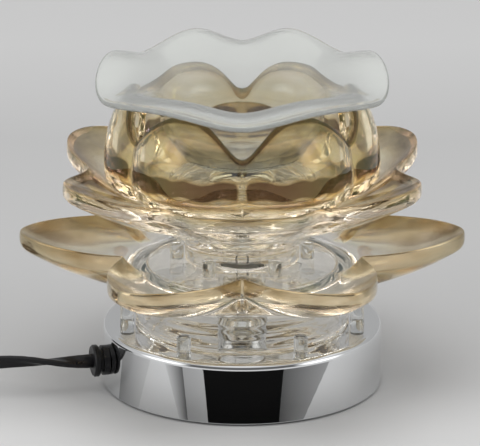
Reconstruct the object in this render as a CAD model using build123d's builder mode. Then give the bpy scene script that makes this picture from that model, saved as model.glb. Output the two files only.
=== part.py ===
from build123d import *

import math
import os

# Electric wax melt warmer: a touch-dimmed chrome base carries a halogen lamp and a pressed-glass
# lotus of three loose tiers, with a loose ruffled dish for the wax on top.
# Millimetres. +Z is up, the origin is on the table under the lamp's axis, and the front is -Y.

# Chrome base, its cover and its feet
base_radius = 52.0
base_top = 24.0
base_wall = 1.0
base_edge_radius = 1.8
table_gap = 0.8
cover_thickness = 2.0
cover_recess = 1.2
cover_gap = 0.4
foot_radius = 5.0
foot_circle_radius = 43.0
foot_start_angle = 45.0
foot_edge = 0.5
post_radius = 3.2
post_circle_radius = 42.0
post_count = 3
post_start_angle = 30.0
cover_screw_radius = 1.5
cover_screw_head_radius = 2.8
cover_screw_head_height = 1.4
cover_screw_length = 9.0
screw_slot_width = 0.7
screw_slot_depth = 0.6
screw_fit = 0.05

# Dimmer board under the rear of the plate
board_length = 40.0
board_width = 30.0
board_thickness = 1.6
board_center_y = 26.0
board_post_height = 4.0
board_post_radius = 2.4
board_post_inset = 3.5
board_screw_radius = 1.2
board_screw_head_radius = 2.2
board_screw_head_height = 1.4
board_screw_length = 4.6
capacitor_length = 13.0
capacitor_width = 6.0
capacitor_height = 9.5
choke_radius = 6.5
choke_tube_radius = 2.4
triac_length = 10.0
triac_width = 9.0
triac_height = 4.4
triac_tab_length = 5.5
triac_tab_thickness = 1.3
triac_hole_radius = 1.8
chip_length = 9.4
chip_width = 6.4
chip_height = 3.4
component_edge = 0.5
capacitor_spot_shares = (-0.165, 0.28)
chip_spot_shares = (0.175, 0.30)
choke_spot_shares = (0.20, -0.10)
triac_spot_shares = (-0.21, 0.02)
supply_spot_shares = (-0.44, -0.08)
lamp_spot_shares = (0.05, -0.40)
touch_spot_shares = (0.30, -0.36)

# Lamp holder on the plate's axis
nipple_radius = 4.0
nipple_bore_radius = 3.0
nipple_length = 12.0
nipple_rise = 5.0
nut_across_flats = 11.0
nut_thickness = 3.0
terminal_radius = 6.6
terminal_thickness = 0.6
terminal_tab_width = 4.6
terminal_tab_reach = 8.2
terminal_tab_drop = 6.0
sleeve_radius = 9.0
sleeve_wall = 0.7
sleeve_floor = 1.0
sleeve_height = 21.0
sleeve_edge_radius = 0.3
holder_fit = 0.2
holder_height = 18.0
holder_pocket_radius = 6.7
holder_pocket_depth = 6.0
holder_slot_width = 4.2
holder_slot_depth = 5.0
pin_pitch = 9.0
socket_radius = 1.9
contact_thickness = 0.4
contact_width = 2.2
contact_length = 5.4
contact_gap = 1.1
contact_rise = 0.8
lead_radius = 0.8
lead_bend_radius = 2.4
lead_tight_radius = 1.2
lead_gap = 0.5
supply_spacing = 1.35

# Halogen capsule lamp
bulb_radius = 6.75
bulb_wall = 0.9
bulb_height = 35.0
bulb_tip_radius = 1.3
bulb_tip_height = 2.0
pinch_width = 12.6
pinch_thickness = 3.4
pinch_height = 9.0
pinch_gap = 0.3
pin_wire_radius = 0.45
pin_loop_width = 1.9
pin_length = 5.6
filament_wire_radius = 0.35
filament_spread = 4.0
filament_height = 15.0
filament_bend_radius = 1.2

# Locating pegs
petal_count = 6
peg_radius = 2.6
peg_height = 6.0
peg_edge = 0.5
peg_gap = 0.4

# Lower tier of glass; the heights of all tiers are above the chrome plate
lower_foot_radius = 40.0
lower_foot_wall = 4.0
lower_foot_edge = 1.2
lower_floor_height = 24.0
lower_floor_thickness = 5.0
lower_hole_radius = 11.5
lower_floor_radius = 36.0
lower_tip_radius = 83.4
lower_half_width = 25.0
lower_rim_height = 33.3
lower_thickness = 7.4
petal_band_share = 0.86
petal_bulge_share = 0.33
# Reach, half width, rim, floor and thickness of each upright section, as shares of the above
lower_station_shares = [
    (0.34, 0.80, 0.16, 0.00, 0.80),
    (0.46, 0.96, 0.60, 0.01, 0.96),
    (0.62, 0.94, 0.80, 0.07, 1.00),
    (0.77, 0.78, 0.90, 0.25, 0.88),
    (0.89, 0.50, 1.00, 0.52, 0.74),
    (0.97, 0.20, 1.00, 0.84, 0.60),
    (0.996, 0.05, 0.97, 0.90, 0.44),
]

# Middle tier
middle_foot_radius = 21.3
middle_foot_wall = 3.6
middle_floor_height = 46.0
middle_floor_thickness = 6.5
middle_hole_radius = 12.0
middle_reach_share = 0.8753
middle_half_width = 27.5
middle_rim_height = 61.6
middle_thickness = 7.0
middle_neck_height = 6.0
middle_flare_radius = 38.0
middle_station_shares = [
    (0.30, 0.96, 0.62, 0.06, 1.05),
    (0.46, 0.99, 0.84, 0.22, 1.04),
    (0.61, 1.00, 0.97, 0.36, 1.00),
    (0.76, 0.92, 1.00, 0.52, 0.96),
    (0.88, 0.72, 1.00, 0.70, 0.90),
    (0.965, 0.39, 1.00, 0.88, 0.82),
    (0.995, 0.12, 0.98, 0.93, 0.60),
]

# Upper tier, six upright lobes turned about axes of their own
upper_foot_radius = 29.0
upper_foot_wall = 4.0
upper_foot_height = 3.0
upper_floor_thickness = 5.0
upper_hole_radius = 12.0
upper_lobe_offset = 20.0
upper_belly_radius = 51.2
upper_belly_height = 61.0
belly_drop_share = 0.5833
upper_shoulder_radius = 48.6
upper_shoulder_height = 78.0
upper_tip_radius = 39.6
upper_tip_height = 88.8
upper_wall = 4.6
upper_tip_wall = 3.6
upper_notch_height = 74.5
upper_floor_reach = 32.0
upper_wedge_start = 22.0
belly_middle_share = 0.7
flank_bow_share = 0.25
crown_bow_share = 0.33
lip_drop_share = 0.7
inner_belly_shares = (0.6, 0.8)
arch_corner_share = 0.75
upper_arch_half_width = 17.0
upper_arch_height = 82.4
tier_gap = 0.6

# Ruffled dish
dish_floor_radius = 22.0
dish_floor_height = 63.0
dish_floor_thickness = 3.4
dish_neck_radius = 30.4
dish_neck_height = 80.0
dish_wall = 3.0
dish_root_depth = 1.0
dish_root_outer_inset = 0.6
dish_root_inner_inset = 0.15
dish_lip_wall = 2.2
lip_round_share = 0.33
flare_wall_share = 0.75
dish_crest_radius = 52.8
dish_crest_height = 100.2
dish_crest_bend_radius = 38.1
dish_crest_bend_height = 91.8
dish_crest_power = 0.85
dish_dip_radius = 55.0
dish_dip_height = 93.0
dish_dip_bend_radius = 39.6
dish_dip_bend_height = 89.8
well_bend_shares = (0.72, 0.4)
well_wall_shares = (0.9, 0.5)
dish_section_shares = [-1.0, -0.75, -0.5, -0.25, 0.0, 0.25, 0.5, 0.75, 1.0]

# Twin cord, its bushing, its coil and its plug
cord_radius = 2.6
cord_height = 12.5
cord_exit_angle = 195.0
bushing_head_radius = 6.0
bushing_head_thickness = 2.4
bushing_groove_radius = 4.4
bushing_groove_width = 1.2
bushing_flange_radius = 5.6
bushing_flange_thickness = 2.2
bushing_neck_radius = 4.6
bushing_barb_radius = 5.2
bushing_barb_length = 6.0
bushing_edge = 0.5
bushing_fit = 0.05
cord_exit_reach = 66.0
cord_route = [(-91.0, -20.6, 12.2), (-119.0, -20.4, 8.4)]
cord_entry_run = 29.0
corner_share = 0.45
tail_route = [(-228.0, 8.0, 4.5), (-250.0, 20.0, 4.5)]
coil_turns = 7
arcs_per_turn = 4
samples_per_turn = 90
spaced_samples = 30
heading_step = 0.001
coil_mean_radius = 30.0
coil_pitch = 5.9
coil_layer_pitch = 5.8
coil_entry_angle = 256.0
coil_entry_x = -176.0
coil_entry_y = -8.0
tie_thickness = 1.2
tie_width = 6.0
tie_gap = 0.4
tie_angle = 30.0
plug_length = 21.0
plug_width = 25.0
plug_thickness = 9.0
plug_neck_width = 12.0
plug_neck_length = 9.0
plug_edge = 1.5
blade_length = 16.0
blade_width = 6.3
blade_thickness = 1.5
blade_pitch = 12.7
blade_hole_radius = 1.6
blade_hole_inset = 3.2

base_inner_radius = base_radius - base_wall
plate_under = base_top - base_wall
cover_bottom = table_gap + cover_recess
cover_top = cover_bottom + cover_thickness
board_bottom = cover_top + board_post_height
board_top = board_bottom + board_thickness
half_sector = 180.0 / petal_count
middle_tip_radius = lower_tip_radius * middle_reach_share
turn = 360.0
os.makedirs("parts", exist_ok=True)


def save(builder, name):
    """Labels one finished piece and writes its file."""
    builder.part.label = name
    export_step(builder.part, f"parts/{name}.step")


def polar_point(radius, angle, height):
    """A point given by its radius, its angle in degrees from +X, and its height."""
    around = math.radians(angle)
    return Vector(radius * math.cos(around), radius * math.sin(around), height)


def board_spot(shares):
    """A place on the board, in its own plane, from shares of its length and width."""
    return (board_length * shares[0], board_width * shares[1])


# The drum is a drawn cup, open below, with holes for the lamp's nipple and the cord's bushing
exit_plane = Plane(
    origin=(0, 0, cord_height),
    x_dir=(0, 0, 1),
    z_dir=polar_point(1, cord_exit_angle, 0),
)
barb_face = math.sqrt(base_inner_radius**2 - bushing_barb_radius**2)

with BuildPart() as base_shell:
    with BuildSketch(Plane.XY.offset(table_gap)):
        Circle(base_radius)
    extrude(amount=base_top - table_gap)
    fillet(base_shell.edges().group_by(Axis.Z)[-1], base_edge_radius)
    offset(amount=-base_wall, openings=base_shell.faces().sort_by(Axis.Z)[0])
    with BuildSketch(Plane.XY.offset(plate_under)):
        Circle(nipple_radius + screw_fit)
    extrude(amount=base_wall, mode=Mode.SUBTRACT)
    with BuildSketch(exit_plane.offset(barb_face - base_wall)):
        Circle(bushing_neck_radius + bushing_fit)
    extrude(amount=base_radius - barb_face + 2 * base_wall, mode=Mode.SUBTRACT)
save(base_shell, "base_shell")

with BuildPart() as cover_posts:
    with BuildSketch(Plane.XY.offset(cover_top)):
        with PolarLocations(post_circle_radius, post_count, start_angle=post_start_angle):
            Circle(post_radius)
            Circle(cover_screw_radius + screw_fit, mode=Mode.SUBTRACT)
    extrude(amount=plate_under - cover_top)
save(cover_posts, "cover_posts")

# The moulded cover carries the board on four posts
board_plane = Plane(origin=(0, board_center_y, board_bottom))
component_plane = board_plane.offset(board_thickness)
board_post_pitch_x = board_length - 2 * board_post_inset
board_post_pitch_y = board_width - 2 * board_post_inset

with BuildPart() as base_cover:
    with BuildSketch(Plane.XY.offset(cover_bottom)):
        Circle(base_inner_radius - cover_gap)
        with PolarLocations(post_circle_radius, post_count, start_angle=post_start_angle):
            Circle(cover_screw_radius + screw_fit, mode=Mode.SUBTRACT)
    extrude(amount=cover_thickness)
    with BuildSketch(board_plane.offset(-board_post_height)):
        with GridLocations(board_post_pitch_x, board_post_pitch_y, 2, 2):
            Circle(board_post_radius)
    extrude(amount=board_post_height)
    with BuildSketch(board_plane.offset(-board_post_height)):
        with GridLocations(board_post_pitch_x, board_post_pitch_y, 2, 2):
            Circle(board_screw_radius + screw_fit)
    extrude(amount=board_post_height, mode=Mode.SUBTRACT)
save(base_cover, "base_cover")

with BuildPart() as feet:
    with BuildSketch():
        with PolarLocations(foot_circle_radius, 4, start_angle=foot_start_angle):
            Circle(foot_radius)
    extrude(amount=cover_bottom)
    chamfer(feet.edges().group_by(Axis.Z)[0], foot_edge)
save(feet, "feet")

with BuildPart() as cover_screws:
    with BuildSketch(Plane.XY.offset(cover_bottom - cover_screw_head_height)):
        with PolarLocations(post_circle_radius, post_count, start_angle=post_start_angle):
            Circle(cover_screw_head_radius)
    extrude(amount=cover_screw_head_height)
    with BuildSketch(Plane.XY.offset(cover_bottom - cover_screw_head_height)):
        with PolarLocations(post_circle_radius, post_count, start_angle=post_start_angle):
            Rectangle(2 * cover_screw_head_radius, screw_slot_width)
    extrude(amount=screw_slot_depth, mode=Mode.SUBTRACT)
    with BuildSketch(Plane.XY.offset(cover_bottom)):
        with PolarLocations(post_circle_radius, post_count, start_angle=post_start_angle):
            Circle(cover_screw_radius)
    extrude(amount=cover_screw_length)
save(cover_screws, "cover_screws")

# Touch dimmer: board, screws and components
with BuildPart() as circuit_board:
    with BuildSketch(board_plane):
        Rectangle(board_length, board_width)
        with GridLocations(board_post_pitch_x, board_post_pitch_y, 2, 2):
            Circle(board_screw_radius + screw_fit, mode=Mode.SUBTRACT)
    extrude(amount=board_thickness)
save(circuit_board, "circuit_board")

with BuildPart() as board_screws:
    with BuildSketch(component_plane):
        with GridLocations(board_post_pitch_x, board_post_pitch_y, 2, 2):
            Circle(board_screw_head_radius)
    extrude(amount=board_screw_head_height)
    with BuildSketch(component_plane.offset(-board_screw_length)):
        with GridLocations(board_post_pitch_x, board_post_pitch_y, 2, 2):
            Circle(board_screw_radius)
    extrude(amount=board_screw_length)
save(board_screws, "board_screws")

with BuildPart() as dimmer_capacitor:
    with BuildSketch(component_plane):
        with Locations(board_spot(capacitor_spot_shares)):
            Rectangle(capacitor_length, capacitor_width)
    extrude(amount=capacitor_height)
    fillet(dimmer_capacitor.edges().filter_by(Axis.Z), component_edge)
save(dimmer_capacitor, "dimmer_capacitor")

with BuildPart() as dimmer_choke:
    with Locations(component_plane.offset(choke_tube_radius)):
        with Locations(board_spot(choke_spot_shares)):
            Torus(choke_radius - choke_tube_radius, choke_tube_radius)
save(dimmer_choke, "dimmer_choke")

with BuildPart() as dimmer_triac:
    with BuildSketch(component_plane):
        with Locations(board_spot(triac_spot_shares)):
            Rectangle(triac_length, triac_width)
    extrude(amount=triac_height)
    chamfer(dimmer_triac.edges().group_by(Axis.Z)[-1], component_edge)
    tab_x, triac_y = board_spot(triac_spot_shares)
    tab_y = triac_y - (triac_width + triac_tab_length) / 2
    with BuildSketch(component_plane):
        with Locations((tab_x, tab_y)):
            Rectangle(triac_length, triac_tab_length)
            Circle(triac_hole_radius, mode=Mode.SUBTRACT)
    extrude(amount=triac_tab_thickness)
save(dimmer_triac, "dimmer_triac")

with BuildPart() as dimmer_chip:
    with BuildSketch(component_plane):
        with Locations(board_spot(chip_spot_shares)):
            Rectangle(chip_length, chip_width)
    extrude(amount=chip_height)
    chamfer(dimmer_chip.edges().group_by(Axis.Z)[-1], component_edge)
save(dimmer_chip, "dimmer_chip")

# Lamp holder: a threaded nipple clamps sleeve, plate and touch terminal between two nuts
nipple_top = base_top + nipple_rise
terminal_bottom = plate_under - terminal_thickness
lower_nut_bottom = terminal_bottom - nut_thickness
sleeve_inner_radius = sleeve_radius - sleeve_wall
holder_bottom = base_top + sleeve_floor
holder_top = holder_bottom + holder_height
pocket_top = holder_bottom + holder_pocket_depth
slot_bottom = holder_top - holder_slot_depth

with BuildPart() as lamp_nipple:
    with BuildSketch(Plane.XY.offset(nipple_top - nipple_length)):
        Circle(nipple_radius)
        Circle(nipple_bore_radius, mode=Mode.SUBTRACT)
    extrude(amount=nipple_length)
save(lamp_nipple, "lamp_nipple")

with BuildPart() as nipple_nuts:
    for nut_bottom in (lower_nut_bottom, holder_bottom):
        with BuildSketch(Plane.XY.offset(nut_bottom)):
            RegularPolygon(nut_across_flats / 2, 6, major_radius=False)
            Circle(nipple_radius + screw_fit, mode=Mode.SUBTRACT)
        extrude(amount=nut_thickness)
save(nipple_nuts, "nipple_nuts")

with BuildPart() as touch_terminal:
    with BuildSketch(Plane.XY.offset(terminal_bottom)):
        Circle(terminal_radius)
        with Locations((terminal_tab_reach / 2, 0)):
            Rectangle(terminal_tab_reach, terminal_tab_width)
        Circle(nipple_radius + screw_fit, mode=Mode.SUBTRACT)
    extrude(amount=terminal_thickness)
    with BuildSketch(Plane.XY.offset(plate_under - terminal_tab_drop)):
        with Locations((terminal_tab_reach - terminal_thickness / 2, 0)):
            Rectangle(terminal_thickness, terminal_tab_width)
    extrude(amount=terminal_tab_drop - terminal_thickness)
save(touch_terminal, "touch_terminal")

with BuildPart() as holder_sleeve:
    with BuildSketch(Plane.XY.offset(base_top)):
        Circle(sleeve_radius)
    extrude(amount=sleeve_height)
    with BuildSketch(Plane.XY.offset(base_top + sleeve_floor)):
        Circle(sleeve_inner_radius)
    extrude(amount=sleeve_height - sleeve_floor, mode=Mode.SUBTRACT)
    with BuildSketch(Plane.XY.offset(base_top)):
        Circle(nipple_radius + screw_fit)
    extrude(amount=sleeve_floor, mode=Mode.SUBTRACT)
    fillet(holder_sleeve.edges().group_by(Axis.Z)[-1], sleeve_edge_radius)
save(holder_sleeve, "holder_sleeve")

with BuildPart() as lamp_holder:
    with BuildSketch(Plane.XY.offset(holder_bottom)):
        Circle(sleeve_inner_radius - holder_fit)
    extrude(amount=holder_height)
    with BuildSketch(Plane.XY.offset(holder_bottom)):
        Circle(holder_pocket_radius)
    extrude(amount=holder_pocket_depth, mode=Mode.SUBTRACT)
    with BuildSketch(Plane.XY.offset(slot_bottom)):
        Rectangle(2 * sleeve_radius, holder_slot_width)
    extrude(amount=holder_slot_depth, mode=Mode.SUBTRACT)
    with BuildSketch(Plane.XY.offset(pocket_top)):
        with GridLocations(pin_pitch, 0, 2, 1):
            Circle(socket_radius)
    extrude(amount=slot_bottom - pocket_top, mode=Mode.SUBTRACT)
save(lamp_holder, "lamp_holder")

contact_bottom = pocket_top + contact_rise
contact_outer = contact_gap + 2 * contact_thickness
with BuildPart() as holder_contacts:
    with BuildSketch(Plane.XY.offset(contact_bottom)):
        with GridLocations(pin_pitch, 0, 2, 1):
            Rectangle(contact_outer, contact_width)
    extrude(amount=contact_length)
    with BuildSketch(Plane.XY.offset(contact_bottom + contact_thickness)):
        with GridLocations(pin_pitch, 0, 2, 1):
            Rectangle(contact_gap, contact_width)
    extrude(amount=contact_length - contact_thickness, mode=Mode.SUBTRACT)
save(holder_contacts, "holder_contacts")

# Capsule lamp: flat pinch with two wire loops, thin envelope, filament arch
pinch_bottom = slot_bottom + pinch_gap
pinch_top = pinch_bottom + pinch_height
bulb_top = pinch_bottom + bulb_height
bulb_inner_radius = bulb_radius - bulb_wall
cavity_bottom = pinch_top + bulb_wall

with BuildPart() as bulb_capsule:
    with BuildSketch(Plane.XZ):
        with BuildLine():
            Line((0, pinch_top), (bulb_radius - bulb_wall, pinch_top))
            Line((bulb_radius - bulb_wall, pinch_top), (bulb_radius, cavity_bottom))
            Line((bulb_radius, cavity_bottom), (bulb_radius, bulb_top - bulb_radius))
            RadiusArc(
                (bulb_radius, bulb_top - bulb_radius),
                (bulb_tip_radius, bulb_top - bulb_wall / 2),
                -bulb_radius,
            )
            Line((bulb_tip_radius, bulb_top - bulb_wall / 2), (0, bulb_top + bulb_tip_height))
            Line((0, bulb_top + bulb_tip_height), (0, pinch_top))
        make_face()
    revolve(axis=Axis.Z)
    with BuildSketch(Plane.XZ):
        with BuildLine():
            Line((0, cavity_bottom), (bulb_inner_radius, cavity_bottom))
            Line((bulb_inner_radius, cavity_bottom), (bulb_inner_radius, bulb_top - bulb_radius))
            RadiusArc(
                (bulb_inner_radius, bulb_top - bulb_radius),
                (0, bulb_top - bulb_wall),
                -bulb_inner_radius,
            )
            Line((0, bulb_top - bulb_wall), (0, cavity_bottom))
        make_face()
    revolve(axis=Axis.Z, mode=Mode.SUBTRACT)
    with BuildSketch(Plane.XY.offset(pinch_bottom)):
        Rectangle(pinch_width, pinch_thickness)
    extrude(amount=pinch_height)
save(bulb_capsule, "bulb_capsule")

pin_bend = pin_loop_width / 2 - pin_wire_radius
with BuildPart() as bulb_pins:
    for side in (-1, 1):
        pin_plane = Plane.YZ.offset(side * pin_pitch / 2)
        with BuildLine(pin_plane) as pin_path:
            leg = Line((-pin_bend, pinch_bottom), (-pin_bend, pinch_bottom - pin_length + pin_bend))
            arc = RadiusArc(leg @ 1, (pin_bend, pinch_bottom - pin_length + pin_bend), -pin_bend)
            Line(arc @ 1, (pin_bend, pinch_bottom))
        with BuildSketch(Plane(origin=pin_path.line @ 0, z_dir=pin_path.line % 0)):
            Circle(pin_wire_radius)
        sweep(path=pin_path.line)
save(bulb_pins, "bulb_pins")

with BuildPart() as bulb_filament:
    with BuildLine() as filament_path:
        FilletPolyline(
            (-filament_spread / 2, 0, cavity_bottom),
            (-filament_spread / 2, 0, cavity_bottom + filament_height),
            (filament_spread / 2, 0, cavity_bottom + filament_height),
            (filament_spread / 2, 0, cavity_bottom),
            radius=filament_bend_radius,
        )
    with BuildSketch(Plane(origin=filament_path.line @ 0, z_dir=filament_path.line % 0)):
        Circle(filament_wire_radius)
    sweep(path=filament_path.line)
save(bulb_filament, "bulb_filament")


# Inner wiring
def wire(points, bend_radius, wire_radius):
    """A round wire through straight runs joined by arcs."""
    with BuildPart() as piece:
        with BuildLine() as path:
            FilletPolyline(*points, radius=bend_radius)
        with BuildSketch(Plane(origin=path.line @ 0, z_dir=path.line % 0)):
            Circle(wire_radius)
        sweep(path=path.line)
    return piece.part


bushing_inner_end = barb_face - bushing_barb_length
lead_spacing = lead_radius + lead_gap / 2
lead_turn_reach = bushing_inner_end - 4 * lead_bend_radius
travel_height = board_top + capacitor_height - 2 * lead_bend_radius

with BuildPart() as supply_leads:
    supply_x, supply_y = board_spot(supply_spot_shares)
    for side in (-1, 1):
        start = exit_plane * Location((0, side * supply_spacing, bushing_inner_end))
        inward = exit_plane * Location((0, side * supply_spacing, lead_turn_reach))
        landing = (supply_x - side * supply_spacing, board_center_y + supply_y)
        add(
            wire(
                [
                    start.position,
                    inward.position,
                    (*landing, travel_height),
                    (*landing, board_top),
                ],
                lead_tight_radius,
                lead_radius,
            )
        )
save(supply_leads, "supply_leads")

with BuildPart() as lamp_leads:
    lamp_x, lamp_y = board_spot(lamp_spot_shares)
    for side in (-1, 1):
        add(
            wire(
                [
                    (side * pin_pitch / 2, 0, contact_bottom),
                    (side * pin_pitch / 2, 0, nipple_top + lead_radius + lead_gap / 2),
                    (side * lead_spacing, 0, nipple_top + lead_radius + lead_gap / 2),
                    (side * lead_spacing, 0, travel_height),
                    (side * lead_spacing, board_center_y + lamp_y, travel_height - lead_radius),
                    (side * lead_spacing, board_center_y + lamp_y, board_top),
                ],
                lead_tight_radius,
                lead_radius,
            )
        )
save(lamp_leads, "lamp_leads")

with BuildPart() as touch_wire:
    touch_x, touch_y = board_spot(touch_spot_shares)
    wire_start_x = terminal_tab_reach - terminal_thickness / 2
    add(
        wire(
            [
                (wire_start_x, 0, plate_under - terminal_tab_drop),
                (wire_start_x, 0, travel_height),
                (touch_x, board_center_y + touch_y, travel_height - lead_radius),
                (touch_x, board_center_y + touch_y, board_top),
            ],
            lead_tight_radius,
            lead_radius,
        )
    )
save(touch_wire, "touch_wire")

# Locating pegs round the two lower foot rings
with BuildPart() as base_pegs:
    with BuildSketch(Plane.XY.offset(base_top)):
        with PolarLocations(lower_foot_radius + peg_gap + peg_radius, petal_count):
            Circle(peg_radius)
    extrude(amount=peg_height)
    chamfer(base_pegs.edges().group_by(Axis.Z)[-1], peg_edge)
save(base_pegs, "base_pegs")

with BuildPart() as tier_pegs:
    with BuildSketch(Plane.XY.offset(base_top + lower_floor_height)):
        with PolarLocations(middle_foot_radius + peg_gap + peg_radius, petal_count):
            Circle(peg_radius)
    extrude(amount=peg_height)
    chamfer(tier_pegs.edges().group_by(Axis.Z)[-1], peg_edge)
save(tier_pegs, "tier_pegs")


# Glass tiers
def cupped_petal(tip_radius, half_width, floor_height, rim_height, thickness, station_shares):
    """One petal along +X, lofted through upright crescents and cut to its sixth of the circle."""
    with BuildPart() as petal:
        for reach_share, width_share, rim_share, floor_share, thickness_share in station_shares:
            half = half_width * width_share
            depth = thickness * thickness_share
            band = depth * petal_band_share
            rim = base_top + floor_height + (rim_height - floor_height) * rim_share
            hollow = base_top + floor_height + (rim_height - floor_height) * floor_share
            bulge = min(band, half) * petal_bulge_share
            with BuildSketch(Plane.YZ.offset(tip_radius * reach_share)):
                with BuildLine():
                    ThreePointArc((-half, rim), (0, hollow), (half, rim))
                    ThreePointArc((half, rim), (half + bulge, rim - band / 2), (half, rim - band))
                    ThreePointArc((half, rim - band), (0, hollow - depth), (-half, rim - band))
                    ThreePointArc((-half, rim - band), (-half - bulge, rim - band / 2), (-half, rim))
                make_face()
        loft()
        wedge_x = 2 * tip_radius
        wedge_y = wedge_x * math.tan(math.radians(half_sector))
        with BuildSketch(Plane.XY.offset(base_top)):
            Polygon((0, 0), (wedge_x, -wedge_y), (wedge_x, wedge_y), align=None)
        extrude(amount=2 * rim_height, mode=Mode.INTERSECT)
    return petal.part


lower_petal = cupped_petal(
    lower_tip_radius,
    lower_half_width,
    lower_floor_height,
    lower_rim_height,
    lower_thickness,
    lower_station_shares,
)
with BuildPart() as lower_tier:
    with PolarLocations(0, petal_count):
        add(lower_petal)
    with BuildSketch(Plane.XY.offset(base_top + lower_floor_height - lower_floor_thickness)):
        Circle(lower_floor_radius)
    extrude(amount=lower_floor_thickness)
    with BuildSketch(Plane.XY.offset(base_top)):
        Circle(lower_foot_radius)
        Circle(lower_foot_radius - lower_foot_wall, mode=Mode.SUBTRACT)
    extrude(amount=lower_floor_height - lower_floor_thickness + lower_foot_edge)
    with BuildSketch(Plane.XY.offset(base_top)):
        Circle(lower_hole_radius)
    extrude(amount=lower_rim_height, mode=Mode.SUBTRACT)
save(lower_tier, "lower_tier")

middle_petal = cupped_petal(
    middle_tip_radius,
    middle_half_width,
    middle_floor_height,
    middle_rim_height,
    middle_thickness,
    middle_station_shares,
)
middle_under = base_top + middle_floor_height - middle_floor_thickness
upper_under = base_top + middle_floor_height + upper_foot_height
upper_belly_drop = upper_belly_height - middle_floor_height - upper_foot_height
upper_belly_drop *= belly_drop_share
belly_mid_radius = upper_belly_radius - upper_belly_drop * belly_middle_share
belly_mid_height = base_top + upper_belly_height - upper_belly_drop
middle_neck_top = base_top + lower_floor_height + middle_neck_height
with BuildPart() as middle_tier:
    with PolarLocations(0, petal_count, start_angle=half_sector):
        add(middle_petal)
    with BuildSketch(Plane.XZ):
        with BuildLine():
            outer_top = (middle_flare_radius, base_top + middle_floor_height)
            outer_low = (middle_flare_radius, middle_under + middle_foot_wall / 2)
            foot_low = (middle_foot_radius, base_top + lower_floor_height)
            foot_in = (middle_foot_radius - middle_foot_wall, base_top + lower_floor_height)
            Polyline(
                (0, base_top + middle_floor_height),
                outer_top,
                outer_low,
                (middle_foot_radius, middle_neck_top),
                foot_low,
                foot_in,
                (middle_foot_radius - middle_foot_wall, middle_under),
                (0, middle_under),
                close=True,
            )
        make_face()
    revolve(axis=Axis.Z)
    with BuildSketch(Plane.XZ):
        with BuildLine():
            seat = Line(
                (0, base_top + middle_floor_height),
                (upper_foot_radius + tier_gap, base_top + middle_floor_height),
            )
            step = Line(seat @ 1, (upper_foot_radius + tier_gap, upper_under - tier_gap))
            belly = ThreePointArc(
                step @ 1,
                (belly_mid_radius + tier_gap, belly_mid_height - tier_gap),
                (upper_belly_radius + tier_gap, base_top + upper_belly_height),
            )
            side = Line(belly @ 1, (upper_belly_radius + tier_gap, base_top + upper_tip_height))
            Polyline(side @ 1, (0, base_top + upper_tip_height), seat @ 0)
        make_face()
    revolve(axis=Axis.Z, mode=Mode.SUBTRACT)
    with BuildSketch(Plane.XY.offset(base_top + lower_floor_height)):
        Circle(middle_hole_radius)
    extrude(amount=middle_rim_height, mode=Mode.SUBTRACT)
save(middle_tier, "middle_tier")

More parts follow.
